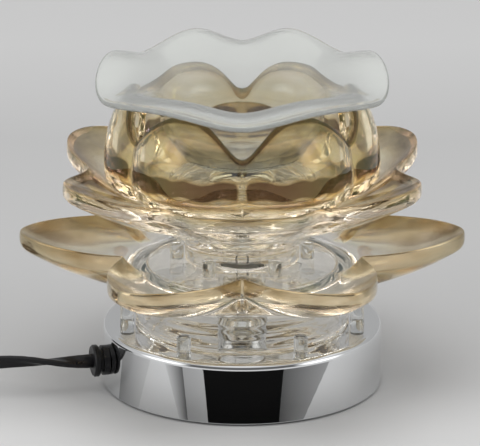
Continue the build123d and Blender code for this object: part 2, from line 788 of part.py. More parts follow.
# One lobe of the upper tier is turned about its own axis, then cut to its sixth and to its arch
notch_lateral = upper_lobe_offset * math.sin(math.radians(half_sector))
notch_lateral += upper_arch_half_width * arch_corner_share
crown_bow = upper_tip_wall * crown_bow_share
crown_x = (upper_shoulder_radius + upper_tip_radius) / 2
crown_z = base_top + (upper_shoulder_height + upper_tip_height) / 2
lip_drop = upper_tip_wall * lip_drop_share
flank_bow = (upper_belly_radius - upper_shoulder_radius) * flank_bow_share
with BuildPart() as upper_lobe:
    with BuildSketch(Plane.XZ):
        with BuildLine():
            underside = Line(
                (upper_lobe_offset, upper_under),
                (upper_floor_reach, upper_under),
            )
            belly_curve = ThreePointArc(
                underside @ 1,
                (belly_mid_radius, belly_mid_height),
                (upper_belly_radius, base_top + upper_belly_height),
            )
            flank = ThreePointArc(
                belly_curve @ 1,
                (
                    upper_belly_radius - flank_bow,
                    base_top + (upper_belly_height + upper_shoulder_height) / 2,
                ),
                (upper_shoulder_radius, base_top + upper_shoulder_height),
            )
            crown = ThreePointArc(
                flank @ 1,
                (crown_x + crown_bow, crown_z + crown_bow),
                (upper_tip_radius, base_top + upper_tip_height),
            )
            lip = Line(
                crown @ 1,
                (upper_tip_radius - lip_drop, base_top + upper_tip_height - lip_drop),
            )
            inner_crown = ThreePointArc(
                lip @ 1,
                (crown_x + crown_bow - upper_tip_wall, crown_z - crown_bow),
                (upper_shoulder_radius - upper_wall, base_top + upper_shoulder_height - crown_bow),
            )
            inner_flank = Line(
                inner_crown @ 1,
                (upper_belly_radius - upper_wall, base_top + upper_belly_height),
            )
            inner_belly = ThreePointArc(
                inner_flank @ 1,
                (
                    belly_mid_radius - upper_wall * inner_belly_shares[0],
                    belly_mid_height + upper_wall * inner_belly_shares[1],
                ),
                (upper_floor_reach, upper_under + upper_floor_thickness),
            )
            Polyline(
                inner_belly @ 1,
                (upper_lobe_offset, upper_under + upper_floor_thickness),
                underside @ 0,
            )
        make_face()
    revolve(axis=Axis((upper_lobe_offset, 0, 0), (0, 0, 1)))
    with BuildSketch(Plane.XY.offset(base_top)):
        near_x = upper_wedge_start
        far_x = 2 * upper_belly_radius
        slope = math.tan(math.radians(half_sector))
        Polygon(
            (near_x, -near_x * slope),
            (far_x, -far_x * slope),
            (far_x, far_x * slope),
            (near_x, near_x * slope),
            align=None,
        )
    extrude(amount=upper_tip_height + upper_wall, mode=Mode.INTERSECT)
    with BuildSketch(Plane.YZ):
        with BuildLine():
            arch = Spline(
                (0, base_top + upper_tip_height),
                (upper_arch_half_width, base_top + upper_arch_height),
                (notch_lateral, base_top + upper_notch_height),
                tangents=[(1, 0), (1, -1)],
            )
            mirror(arch, about=Plane.YZ)
            Polyline(
                (notch_lateral, base_top + upper_notch_height),
                (upper_belly_radius, base_top + upper_notch_height),
                (upper_belly_radius, base_top),
                (-upper_belly_radius, base_top),
                (-upper_belly_radius, base_top + upper_notch_height),
                (-notch_lateral, base_top + upper_notch_height),
            )
        make_face()
    extrude(amount=far_x, mode=Mode.INTERSECT)

with BuildPart() as upper_tier:
    with PolarLocations(0, petal_count):
        add(upper_lobe.part)
    with BuildSketch(Plane.XY.offset(upper_under)):
        Circle(upper_foot_radius)
    extrude(amount=upper_floor_thickness)
    with BuildSketch(Plane.XY.offset(base_top + middle_floor_height)):
        Circle(upper_foot_radius)
        Circle(upper_foot_radius - upper_foot_wall, mode=Mode.SUBTRACT)
    extrude(amount=upper_foot_height)
    with BuildSketch(Plane.XY.offset(upper_under)):
        Circle(upper_hole_radius)
    extrude(amount=upper_floor_thickness, mode=Mode.SUBTRACT)
save(upper_tier, "upper_tier")

# Dish: a turned well, and a flare lofted through upright sections that wave between crest and dip;
# the flare's root runs down into the wall of the well
well_low = base_top + dish_floor_height
neck_level = base_top + dish_neck_height


def between(low, high, share):
    """A value part of the way from one size to another."""
    return low + (high - low) * share


lip_round = dish_lip_wall * lip_round_share
root_level = neck_level - dish_root_depth
with BuildPart() as dish_sector:
    for step_share in dish_section_shares:
        angle = half_sector * step_share
        crest_share = ((1 + math.cos(math.pi * step_share)) / 2) ** dish_crest_power
        bend_radius = between(dish_dip_bend_radius, dish_crest_bend_radius, crest_share)
        bend_height = base_top + between(dish_dip_bend_height, dish_crest_bend_height, crest_share)
        rim_radius = between(dish_dip_radius, dish_crest_radius, crest_share)
        rim_level = base_top + between(dish_dip_height, dish_crest_height, crest_share)
        middle_wall = (dish_wall + dish_lip_wall) / 2 * flare_wall_share
        radial = polar_point(1, angle, 0)
        section_plane = Plane(origin=(0, 0, 0), x_dir=radial, z_dir=radial.cross(Vector(0, 0, 1)))
        with BuildSketch(section_plane):
            with BuildLine():
                under = ThreePointArc(
                    (dish_neck_radius - dish_root_outer_inset, root_level),
                    (bend_radius, bend_height),
                    (rim_radius, rim_level - dish_lip_wall),
                )
                edge = ThreePointArc(
                    under @ 1,
                    (rim_radius + lip_round, rim_level - lip_round),
                    (rim_radius - lip_round, rim_level),
                )
                over = ThreePointArc(
                    edge @ 1,
                    (bend_radius - middle_wall, bend_height + middle_wall),
                    (dish_neck_radius - dish_wall + dish_root_inner_inset, root_level),
                )
                Line(over @ 1, under @ 0)
            make_face()
    loft()
    with BuildSketch(Plane.XY.offset(base_top)):
        far_x = 2 * dish_dip_radius
        far_y = far_x * math.tan(math.radians(half_sector))
        Polygon((0, 0), (far_x, -far_y), (far_x, far_y), align=None)
    extrude(amount=2 * dish_crest_height, mode=Mode.INTERSECT)

well_bend_radius = between(dish_floor_radius, dish_neck_radius, well_bend_shares[0])
well_bend_height = between(well_low, neck_level, well_bend_shares[1])
with BuildPart() as dish:
    with BuildSketch(Plane.XZ):
        with BuildLine():
            bottom = Line((0, well_low), (dish_floor_radius, well_low))
            side_under = ThreePointArc(
                bottom @ 1,
                (well_bend_radius, well_bend_height),
                (dish_neck_radius, neck_level),
            )
            neck = Line(side_under @ 1, (dish_neck_radius - dish_wall, neck_level))
            side_over = ThreePointArc(
                neck @ 1,
                (
                    well_bend_radius - dish_wall * well_wall_shares[0],
                    well_bend_height + dish_wall * well_wall_shares[1],
                ),
                (dish_floor_radius - dish_wall / 2, well_low + dish_floor_thickness),
            )
            Polyline(side_over @ 1, (0, well_low + dish_floor_thickness), (0, well_low))
        make_face()
    revolve(axis=Axis.Z)
    with PolarLocations(0, petal_count):
        add(dish_sector.part)
save(dish, "dish")

# Bushing: barb inside the wall, neck in its hole, flange, groove and head outside
bushing_steps = [
    (bushing_barb_radius, bushing_inner_end, barb_face),
    (bushing_neck_radius, barb_face, base_radius),
    (bushing_flange_radius, base_radius, base_radius + bushing_flange_thickness),
]
groove_start = base_radius + bushing_flange_thickness
head_start = groove_start + bushing_groove_width
head_end = head_start + bushing_head_thickness
bushing_steps.append((bushing_groove_radius, groove_start, head_start))
bushing_steps.append((bushing_head_radius, head_start, head_end))

with BuildPart() as cord_bushing:
    for step_radius, step_start, step_end in bushing_steps:
        with BuildSketch(exit_plane.offset(step_start)):
            Circle(step_radius)
        extrude(amount=step_end - step_start)
    outer_edges = cord_bushing.edges().filter_by(GeomType.CIRCLE)
    chamfer(outer_edges.filter_by(lambda edge: edge.radius == bushing_head_radius), bushing_edge)
    with BuildSketch(exit_plane.offset(bushing_inner_end)):
        Circle(cord_radius + bushing_fit)
    extrude(amount=head_end - bushing_inner_end, mode=Mode.SUBTRACT)
save(cord_bushing, "cord_bushing")

# The free cord leaves the bushing level, comes down to the table and runs into its coil
coil_low = tie_thickness + tie_gap + cord_radius
coil_outer_radius = coil_mean_radius + coil_pitch * coil_turns / 4
entry_heading = polar_point(1, coil_entry_angle - turn / 4, 0)
coil_entry = Vector(coil_entry_x, coil_entry_y, coil_low)
coil_exit = coil_entry + Vector(0, 0, coil_layer_pitch)
coil_center = coil_entry - polar_point(coil_outer_radius, coil_entry_angle, coil_low)


def fair_radii(points):
    """One bend radius a corner, as large as the shorter of its two runs allows."""
    radii = []
    for before, corner, after in zip(points, points[1:], points[2:]):
        incoming = corner - before
        outgoing = after - corner
        half_turn = math.radians(incoming.get_angle(outgoing)) / 2
        shorter = min(incoming.length, outgoing.length)
        radii.append(corner_share * shorter / math.tan(half_turn))
    return radii


def cord_run(points, name):
    """A free stretch of cord: a round tube through straight runs and tangent arcs."""
    radii = fair_radii(points)
    with BuildPart() as run:
        with BuildLine() as path:
            FilletPolyline(*points, radius=radii)
        with BuildSketch(Plane(origin=path.line @ 0, z_dir=path.line % 0)):
            Circle(cord_radius)
        sweep(path=path.line)
    section = math.pi * cord_radius**2
    print(name, "radii", [round(radius) for radius in radii], "length", round(path.wire().length))
    print(name, "volume over section times length", run.part.volume / section / path.wire().length)
    return run


free_points = [exit_plane.offset(bushing_inner_end).origin, exit_plane.offset(cord_exit_reach).origin]
free_points += [Vector(*place) for place in cord_route]
free_points += [coil_entry - entry_heading * cord_entry_run, coil_entry]
cord = cord_run(free_points, "cord")
save(cord, "cord")

tail_points = [coil_exit, coil_exit + entry_heading * cord_entry_run]
tail_points += [Vector(*place) for place in tail_route]
cord_tail = cord_run(tail_points, "cord_tail")
save(cord_tail, "cord_tail")


def coil_place(turns_done):
    """Centre line of the coil: spirals in on the table, climbs a layer, spirals out on top."""
    turns_left = coil_turns - turns_done
    radius = coil_outer_radius - coil_pitch * min(turns_done, turns_left)
    climb = min(max((turns_done - coil_turns / 2) * 2 + 0.5, 0), 1)
    rise = coil_layer_pitch * climb * climb * (3 - 2 * climb)
    return coil_center + polar_point(radius, coil_entry_angle - turn * turns_done, coil_low + rise)


def coil_heading(turns_done):
    """Direction of travel of the centre line, level and square to the radius at both ends."""
    if min(turns_done, coil_turns - turns_done) < heading_step:
        return entry_heading
    ahead = coil_place(turns_done + heading_step)
    behind = coil_place(turns_done - heading_step)
    return (ahead - behind).normalized()


def biarc(start, start_heading, end, end_heading):
    """The point where two arcs, tangent to both headings, meet, and their common heading."""
    chord = end - start
    headings = start_heading + end_heading
    spread = 2 * (1 - start_heading.dot(end_heading))
    along = chord.dot(headings)
    reach = (math.sqrt(along**2 + spread * chord.dot(chord)) - along) / spread
    first = start + start_heading * reach
    second = end - end_heading * reach
    return (first + second) / 2, (second - first).normalized()


with BuildPart() as cord_coil:
    with BuildLine() as coil_path:
        for index in range(arcs_per_turn * coil_turns):
            start_turn, end_turn = index / arcs_per_turn, (index + 1) / arcs_per_turn
            start, end = coil_place(start_turn), coil_place(end_turn)
            start_heading, end_heading = coil_heading(start_turn), coil_heading(end_turn)
            meeting, meeting_heading = biarc(start, start_heading, end, end_heading)
            TangentArc(start, meeting, tangent=start_heading)
            TangentArc(meeting, end, tangent=meeting_heading)
    with BuildSketch(Plane(origin=coil_path.wire() @ 0, z_dir=coil_path.wire() % 0)):
        Circle(cord_radius)
    sweep(path=coil_path.wire())
save(cord_coil, "cord_coil")

sample_count = samples_per_turn * coil_turns
samples = [coil_path.wire() @ (index / sample_count) for index in range(sample_count + 1)]
least_gap = min(
    (samples[first] - samples[second]).length
    for first in range(len(samples))
    for second in range(first + spaced_samples, len(samples))
)
print("cord_coil least gap to itself", least_gap - 2 * cord_radius, "length", coil_path.wire().length)

# Tie round the coil's strands, plug and blades
coil_inner_radius = coil_outer_radius - coil_pitch * coil_turns / 2
tie_reach = coil_outer_radius - coil_inner_radius + 2 * (cord_radius + tie_gap)
tie_rise = coil_layer_pitch + 2 * (cord_radius + tie_gap)
tie_plane = Plane(
    origin=coil_center + polar_point(coil_mean_radius, tie_angle, tie_thickness + tie_rise / 2),
    x_dir=polar_point(1, tie_angle, 0),
    z_dir=polar_point(1, tie_angle - turn / 4, 0),
)
with BuildPart() as cord_tie:
    with BuildSketch(tie_plane):
        RectangleRounded(tie_reach + 2 * tie_thickness, tie_rise + 2 * tie_thickness, 2 * tie_thickness)
        RectangleRounded(tie_reach, tie_rise, tie_thickness, mode=Mode.SUBTRACT)
    extrude(amount=tie_width / 2, both=True)
save(cord_tie, "cord_tie")

plug_heading = (tail_points[-1] - tail_points[-2]).normalized()
plug_plane = Plane(origin=tail_points[-1], x_dir=plug_heading.cross(Vector(0, 0, 1)), z_dir=plug_heading)
with BuildPart() as plug_body:
    with BuildSketch(plug_plane):
        RectangleRounded(plug_neck_width, plug_thickness - plug_edge, plug_edge)
    with BuildSketch(plug_plane.offset(plug_neck_length)):
        RectangleRounded(plug_width, plug_thickness, plug_edge)
    loft()
    with BuildSketch(plug_plane.offset(plug_neck_length)):
        RectangleRounded(plug_width, plug_thickness, plug_edge)
    extrude(amount=plug_length - plug_neck_length)
save(plug_body, "plug_body")

blade_hole_plane = Plane(
    origin=plug_plane.offset(plug_length + blade_length - blade_hole_inset).origin,
    x_dir=plug_heading,
    z_dir=plug_plane.x_dir,
)
with BuildPart() as plug_blades:
    with BuildSketch(plug_plane.offset(plug_length)):
        with GridLocations(blade_pitch, 0, 2, 1):
            Rectangle(blade_thickness, blade_width)
    extrude(amount=blade_length)
    chamfer(plug_blades.faces().sort_by(Axis(tail_points[-1], plug_heading))[-2:].edges(), blade_thickness / 4)
    with BuildSketch(blade_hole_plane):
        Circle(blade_hole_radius)
    extrude(amount=blade_pitch, both=True, mode=Mode.SUBTRACT)
save(plug_blades, "plug_blades")
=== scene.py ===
# %% [markdown]
# # An electric wax melt warmer
# A touch-dimmed chrome drum carries a capsule lamp and a lotus of pressed glass in three loose tiers,
# with a ruffled dish for the wax on top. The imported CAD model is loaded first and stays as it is: it
# gives every place and size. The pieces that a viewer looks at closely are then made again as smooth
# surfaces with numpy, and every other node gets a finish of its own.

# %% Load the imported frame
import math

import bmesh
import bpy
import numpy as np
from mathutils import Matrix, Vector


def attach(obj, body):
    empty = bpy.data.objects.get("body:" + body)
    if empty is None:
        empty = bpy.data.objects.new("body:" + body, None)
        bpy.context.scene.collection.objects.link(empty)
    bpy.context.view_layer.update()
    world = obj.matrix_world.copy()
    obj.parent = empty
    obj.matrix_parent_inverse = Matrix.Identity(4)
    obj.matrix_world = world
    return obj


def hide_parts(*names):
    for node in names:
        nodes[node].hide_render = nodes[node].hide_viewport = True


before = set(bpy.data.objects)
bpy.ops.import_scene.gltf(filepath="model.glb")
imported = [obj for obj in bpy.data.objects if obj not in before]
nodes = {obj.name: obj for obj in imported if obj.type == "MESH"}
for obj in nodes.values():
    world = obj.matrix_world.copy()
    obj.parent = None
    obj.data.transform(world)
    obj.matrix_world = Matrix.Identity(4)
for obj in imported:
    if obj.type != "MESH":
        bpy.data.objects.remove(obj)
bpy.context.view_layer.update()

MM = 0.001

# %% [markdown]
# ## Camera
# The photograph looks straight at the front and a little down, from far away, so that the drum's two
# edges are almost the same ellipse. A long lens at 2.1 metres gives that. The aim is the point in the
# middle of the picture.

# %% Camera
camera_rise = math.radians(18.2)
camera_reach = 2.1
picture_width = 480
metres_per_pixel = 0.000372
aim = Vector((-0.0008, 0.0, 0.0616))

camera_data = bpy.data.cameras.new("camera")
camera_data.lens = camera_data.sensor_width * camera_reach / (picture_width * metres_per_pixel)
camera = bpy.data.objects.new("camera", camera_data)
back = Vector((0.0, -math.cos(camera_rise), math.sin(camera_rise)))
camera.location = aim + back * camera_reach
camera.rotation_euler = (-back).to_track_quat("-Z", "Y").to_euler()
bpy.context.scene.collection.objects.link(camera)
bpy.context.scene.camera = camera
print("lens", round(camera_data.lens, 1), "mm")

# %% [markdown]
# ## Shader maths
# A finish is easier to read as an expression than as a list of links. This class wraps one socket and
# adds a Math node for each operator, and one method makes any other node. Colours are blended with a
# Mix node, because a Math node would turn them grey.

# %% Shader maths
class Shade:
    """One output socket of a node tree, with the operators that the finishes use."""

    def __init__(self, tree, socket):
        self.tree, self.socket = tree, socket

    def node(self, kind, settings=None, **inputs):
        """Adds a node, sets its settings, then its inputs: a number, a colour or another Shade."""
        made = self.tree.nodes.new(kind)
        for name, value in (settings or {}).items():
            if name == "stops":
                fill_ramp(made.color_ramp, value)
            else:
                setattr(made, name, value)
        for name, value in inputs.items():
            plug(self.tree, made.inputs[name.replace("_", " ")], value)
        return made

    def math(self, operation, *values):
        """A Math node of the operation, with these values in its sockets."""
        made = self.node("ShaderNodeMath", {"operation": operation})
        for socket, value in zip(made.inputs, values):
            plug(self.tree, socket, value)
        return Shade(self.tree, made.outputs[0])

    def __add__(self, other):
        return self.math("ADD", self, other)

    def __sub__(self, other):
        return self.math("SUBTRACT", self, other)

    def __mul__(self, other):
        return self.math("MULTIPLY", self, other)

    def __truediv__(self, other):
        return self.math("DIVIDE", self, other)

    def __rsub__(self, other):
        return self.math("SUBTRACT", other, self)

    def __rtruediv__(self, other):
        return self.math("DIVIDE", other, self)

    __radd__ = __add__
    __rmul__ = __mul__

    def clamp(self):
        return self.math("MINIMUM", self.math("MAXIMUM", self, 0.0), 1.0)

    def between(self, low, high):
        """0 where the value is low, 1 where it is high, and a smooth step between."""
        made = self.node("ShaderNodeMapRange", {"interpolation_type": "SMOOTHSTEP"})
        for key, value in (("Value", self), ("From Min", low), ("From Max", high)):
            plug(self.tree, made.inputs[key], value)
        return Shade(self.tree, made.outputs[0])

    def blend(self, first, second):
        """A colour that goes from the first to the second as the value goes from 0 to 1."""
        made = self.node("ShaderNodeMix", {"data_type": "RGBA"})
        factor, first_colour, second_colour = (made.inputs[place] for place in (0, 6, 7))
        plug(self.tree, factor, self)
        plug(self.tree, first_colour, first)
        plug(self.tree, second_colour, second)
        return Shade(self.tree, made.outputs[2])


def plug(tree, socket, value):
    """Links a Shade to the socket, or sets a number or colour on it."""
    if isinstance(value, Shade):
        tree.links.new(value.socket, socket)
    elif isinstance(value, (tuple, list)) and len(value) == 3 and socket.type == "RGBA":
        socket.default_value = (*value, 1.0)
    else:
        socket.default_value = value


def fill_ramp(ramp, stops):
    """Gives a ramp its stops, each a position and a grey value or colour."""
    while len(ramp.elements) < len(stops):
        ramp.elements.new(1.0)
    for element, (position, value) in zip(ramp.elements, stops):
        element.position = position
        element.color = (*value, 1.0) if isinstance(value, tuple) else (*grey(value), 1.0)


def grey(tone):
    """The colour whose three parts are all the tone."""
    return (tone, tone, tone)


print("shader maths ready")

# %% [markdown]
# ## Finishes
# Every finish here starts as one Principled shader, because it covers metal, glass and plastic alike.
# What differs is which sockets a noise feeds, so this class keeps the material, its Object coordinates
# and the few nodes that the finishes share.

# %% Finishes
class Finish:
    """A material with one Principled shader, its object coordinates and its noise."""

    def __init__(self, name, **constants):
        self.material = bpy.data.materials.new(name)
        self.material.use_nodes = True
        self.tree = self.material.node_tree
        self.tree.nodes.clear()
        self.out = self.tree.nodes.new("ShaderNodeOutputMaterial")
        self.shader = self.principled(**constants)
        self.tree.links.new(self.shader.outputs[0], self.out.inputs[0])
        self.start = Shade(self.tree, None)
        place = self.tree.nodes.new("ShaderNodeTexCoord")
        self.place = Shade(self.tree, place.outputs["Object"])

    def principled(self, **constants):
        """A Principled shader with these values on its own sockets."""
        shader = self.tree.nodes.new("ShaderNodeBsdfPrincipled")
        for name, value in constants.items():
            plug(self.tree, shader.inputs[name.replace("_", " ")], value)
        return shader

    def set(self, **links):
        """Feeds sockets of the finish's first shader."""
        for name, value in links.items():
            plug(self.tree, self.shader.inputs[name.replace("_", " ")], value)

    def axis(self, index):
        """One coordinate of the place, 0, 1 or 2."""
        made = self.start.node("ShaderNodeSeparateXYZ")
        plug(self.tree, made.inputs[0], self.place)
        return Shade(self.tree, made.outputs[index])

    def attribute(self, name):
        """The value that the mesh's points carry under the name."""
        made = self.start.node("ShaderNodeAttribute", {"attribute_name": name})
        return Shade(self.tree, made.outputs["Fac"])

    def noise(self, scale, detail=2.0, stretch=(1.0, 1.0, 1.0)):
        """Noise of the place, finer in a direction where the stretch is more than 1."""
        mapping = self.start.node("ShaderNodeMapping", Scale=stretch)
        plug(self.tree, mapping.inputs[0], self.place)
        made = self.start.node("ShaderNodeTexNoise", Scale=scale, Detail=detail)
        self.tree.links.new(mapping.outputs[0], made.inputs["Vector"])
        return Shade(self.tree, made.outputs[0])

    def ramp(self, value, stops):
        """The colour or grey at a value between 0 and 1, from a list of stops."""
        made = self.start.node("ShaderNodeValToRGB", {"stops": stops})
        plug(self.tree, made.inputs[0], value)
        return Shade(self.tree, made.outputs[0])

    def mix_in(self, other, share):
        """Mixes another shader over the first by a share that may change over the surface."""
        mixed = self.tree.nodes.new("ShaderNodeMixShader")
        plug(self.tree, mixed.inputs[0], share)
        self.tree.links.new(self.shader.outputs[0], mixed.inputs[1])
        self.tree.links.new(other.outputs[0], mixed.inputs[2])
        self.tree.links.new(mixed.outputs[0], self.out.inputs[0])

    def bump(self, height, strength, distance):
        """Gives every shader of the finish the same relief."""
        made = self.start.node("ShaderNodeBump", Strength=strength, Distance=distance)
        plug(self.tree, made.inputs["Height"], height)
        for shader in [node for node in self.tree.nodes if node.type == "BSDF_PRINCIPLED"]:
            self.tree.links.new(made.outputs[0], shader.inputs["Normal"])


print("finishes ready")

# %% [markdown]
# ## Grids of points
# Most pieces here are turned round the lamp's axis, some of them with a wave that repeats six times. Each
# is one function of two parameters: how far along its outline, and how far round. The outline is a list
# of corners, and a soft corner is replaced by a short curve, because fire-polished glass and drawn
# metal have no sharp edge.

# %% Grids of points
def soften(corners):
    """Outline of soft corners, one row a point. A corner is cut back by its softness along both of its
    edges, and the quadratic curve start (1-t)^2 + corner 2t(1-t) + end t^2 runs between the cuts, which
    is corner + (start - corner) (1-t)^2 + (end - corner) t^2. One more row just outside each cut keeps
    the edge beyond it straight. Rows are arrays of radius, height and lustre, one entry for each angle
    round the axis."""
    curve_steps, outside, most_of_edge = 6, 1.05, 0.45
    rows = []
    count = len(corners)
    for index, (corner, soft) in enumerate(corners):
        if soft == 0:
            rows.append(corner)
            continue
        cuts = []
        for other in (corners[index - 1][0], corners[(index + 1) % count][0]):
            edge = other - corner
            length = np.hypot(edge[:, 0], edge[:, 1])
            cut_back = np.minimum(soft, most_of_edge * length) / np.maximum(length, 1e-9)
            cuts.append(edge * cut_back[:, None])
        rows.append(corner + cuts[0] * outside)
        for t in np.linspace(0.0, 1.0, curve_steps):
            rows.append(corner + cuts[0] * (1 - t) ** 2 + cuts[1] * t**2)
        rows.append(corner + cuts[1] * outside)
    return np.array(rows)


def ring_places(rows, angles):
    """Point (r cos a, r sin a, z) for each row's radius and height at each angle."""
    return np.stack([rows[..., 0] * np.cos(angles), rows[..., 0] * np.sin(angles), rows[..., 1]], -1)


def grid_faces(row_count, column_count, closed):
    """Quads between neighbouring rows and columns, round the axis and, if closed, round the outline."""
    row = np.arange(row_count if closed else row_count - 1)[:, None]
    column = np.arange(column_count)[None, :]
    next_row, next_column = (row + 1) % row_count, (column + 1) % column_count
    faces = [row * column_count + column, row * column_count + next_column]
    faces += [next_row * column_count + next_column, next_row * column_count + column]
    return np.stack(faces, -1).reshape(-1, 4)


print("grids ready")

# %% [markdown]
# ## Pieces
# Every piece is made in the same way: its points and faces become a smooth mesh at the origin, which
# rides on the body that carries it, takes its slot's finish and stands for the CAD node that it hides.
# Where a grid reaches the axis its points fall together, and they are merged to close the pole.

# %% Pieces
def make_piece(name, places, faces, finish, body, replaced, lustre=None):
    """Puts places and faces into a smooth mesh, merges the points on the axis, and rides it."""
    mesh = bpy.data.meshes.new(name)
    mesh.from_pydata(places.reshape(-1, 3).tolist(), [], faces.tolist())
    if lustre is not None:
        mesh.attributes.new("lustre", "FLOAT", "POINT").data.foreach_set("value", lustre.ravel())
    work = bmesh.new()
    work.from_mesh(mesh)
    bmesh.ops.remove_doubles(work, verts=work.verts, dist=1e-7)
    for face in work.faces:
        face.smooth = True
    work.to_mesh(mesh)
    work.free()
    mesh.materials.append(finish.material)
    piece = bpy.data.objects.new(name, mesh)
    bpy.context.scene.collection.objects.link(piece)
    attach(piece, body)
    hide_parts(*replaced)
    print(name, len(mesh.polygons), "faces")


def turned(name, outline, finish, body, replaced, steps):
    """A piece turned round the lamp's axis from (radius, height, softness) in millimetres."""
    angles = np.linspace(0.0, 2 * math.pi, steps, endpoint=False)
    corners = [(np.tile([r * MM, z * MM, 0.0], (steps, 1)), soft * MM) for r, z, soft in outline]
    rows = soften(corners)
    faces = grid_faces(len(rows), steps, True)
    make_piece(name, ring_places(rows, angles), faces, finish, body, replaced)


print("pieces ready")

# %% [markdown]
# ## Chrome
# The drum and the lamp's sleeve are polished chrome over drawn steel. A full metal with almost no
# roughness is right, and what makes it look real is a very faint, broad waviness and the slight haze
# of handling, so both are given by noise.

# %% Chrome
chrome = Finish("polished chrome", Base_Color=(0.80, 0.81, 0.82), Metallic=1.0)
haze = chrome.noise(scale=38.0, detail=3.0)
chrome.set(Roughness=haze.between(0.35, 0.8) * 0.05 + 0.022)
chrome.bump(chrome.noise(scale=14.0, detail=1.0), strength=0.25, distance=0.0003)

base_top, drum_radius, drum_foot, drum_wall = 24.0, 52.0, 0.8, 1.0
lamp_bore = 4.1
turned(
    "drum",
    [
        (drum_radius - drum_wall, base_top - drum_wall, 1.4), (drum_radius - drum_wall, drum_foot, 0.3),
        (drum_radius, drum_foot, 0.3), (drum_radius, base_top, 2.4),
        (lamp_bore, base_top, 0.2), (lamp_bore, base_top - drum_wall, 0.0),
    ],
    chrome, "base", ("base_shell",), steps=360,
)
sleeve_radius, sleeve_inner, sleeve_floor, sleeve_top = 9.0, 8.3, 25.0, 45.0
turned(
    "lamp_sleeve",
    [
        (lamp_bore, sleeve_floor, 0.0), (sleeve_inner, sleeve_floor, 0.3),
        (sleeve_inner, sleeve_top, 0.25), (sleeve_radius, sleeve_top, 0.25),
        (sleeve_radius, base_top, 0.0), (lamp_bore, base_top, 0.0),
    ],
    chrome, "base", ("holder_sleeve",), steps=128,
)

# %% [markdown]
# ## Lustred glass
# The lustre is a thin fired metal film, clear at the foot, gold on the petals and brown on the rims.
# One shader can't be clear glass and half metal at once, so two are mixed, by an attribute that says
# how much film each point carries. A thin film of high index turns what it reflects gold, and the
# film's own colour does the rest.

# %% Lustred glass
body_tint = (0.974, 0.956, 0.918)
glass_index = 1.5


def lustre_glass(name, stops, ripple, metal, satin, foot_top):
    """Clear glass with a fired film mixed over it by the lustre attribute, broken up by noise. The stops
    give the film's colour from thin to thick, metal and satin how far it turns to metal and loses its
    polish, and ripple is the depth of the waves that pressing leaves, which are level rings in the
    foot, below foot_top in metres."""
    glass = Finish(
        name, Base_Color=body_tint, Transmission_Weight=1.0, IOR=glass_index, Roughness=0.006
    )
    cover = glass.attribute("lustre")
    cloud = glass.noise(scale=70.0, detail=3.0, stretch=(1.0, 1.0, 1.6))
    mask = (cover + (cloud - 0.5) * 0.7 * cover).clamp()
    film = glass.principled(
        Transmission_Weight=1.0, IOR=glass_index, Thin_Film_Thickness=262.0, Thin_Film_IOR=1.78,
        Base_Color=glass.ramp(mask, stops),
        Metallic=mask.between(0.3, 0.9) * metal,
        Roughness=mask.between(0.35, 0.8) * satin + 0.008,
    )
    glass.mix_in(film, mask.between(0.0, 0.35))
    waves = glass.noise(scale=52.0, detail=2.0, stretch=(1.0, 1.0, 1.5))
    rings = glass.noise(scale=26.0, detail=1.0, stretch=(1.0, 1.0, 9.0))
    in_foot = glass.axis(2).between(foot_top, foot_top - 0.006)
    glass.bump(waves + rings * in_foot * 2.6, strength=0.42, distance=ripple)
    return glass


thin_film = (0.95, 0.93, 0.87)
low_glass = lustre_glass(
    "lower lustre glass",
    [(0.0, thin_film), (0.45, (0.91, 0.84, 0.68)), (0.8, (0.74, 0.63, 0.44)), (1.0, (0.42, 0.31, 0.17))],
    ripple=0.0006, metal=0.62, satin=0.13, foot_top=0.043,
)
middle_glass = lustre_glass(
    "middle lustre glass",
    [
        (0.0, (0.95, 0.93, 0.86)), (0.4, (0.82, 0.70, 0.47)), (0.75, (0.42, 0.29, 0.15)),
        (1.0, (0.11, 0.055, 0.035)),
    ],
    ripple=0.0008, metal=0.30, satin=0.03, foot_top=0.056,
)
high_glass = lustre_glass(
    "upper lustre glass",
    [(0.0, thin_film), (0.4, (0.94, 0.83, 0.58)), (0.7, (0.66, 0.46, 0.23)), (1.0, (0.045, 0.020, 0.013))],
    ripple=0.0006, metal=0.26, satin=0.03, foot_top=0.060,
)
print("glass", [made.material.name for made in (low_glass, middle_glass, high_glass)])

# %% [markdown]
# ## Tiers of petals
# Each tier is one pressing: a foot ring, a floor with a hole for the lamp, and six petals. All six are
# one wave round the axis, so a whole tier can be one closed surface: at each angle the outline runs
# from the hole along the underside, round the rim and back over the top. That keeps the glass free of
# inner faces, which a glass shader would show. The outline also carries the lustre.

# %% Tiers of petals
petals = 6
columns = petals * 90
round_angles = np.linspace(0.0, 2 * math.pi, columns, endpoint=False)


def sector_share(offset):
    """0 on a petal's centre line and 1 on the line between two petals, for each angle."""
    sector = math.pi / 3
    place = (round_angles - offset + sector / 2) % sector - sector / 2
    return np.abs(place) / (sector / 2)


def softened(share, width):
    """The share with its corner at 1 rounded off, so that neighbouring petals meet in a soft crease:
    1 - (sqrt((1 - share)^2 + width^2) - width), scaled so that 0 stays 0."""
    return 1 - (np.sqrt((1 - share) ** 2 + width**2) - width) / (math.sqrt(1 + width**2) - width)


def smooth(value):
    """Smooth step from 0 to 1: v^2 (3 - 2v), with v kept between 0 and 1."""
    value = np.clip(value, 0.0, 1.0)
    return value * value * (3 - 2 * value)


def row(radius, height, lustre=0.0):
    """One row of the outline, in metres, from sizes in millimetres above the chrome plate."""
    parts = np.broadcast_arrays(radius, height, lustre, round_angles)[:3]
    return np.stack([parts[0] * MM, (parts[1] + base_top) * MM, parts[2]], -1)


def bare_corners(outline):
    """Corners without lustre, the same all round, from (radius, height, softness) in millimetres."""
    return [(row(radius, height), softness) for radius, height, softness in outline]


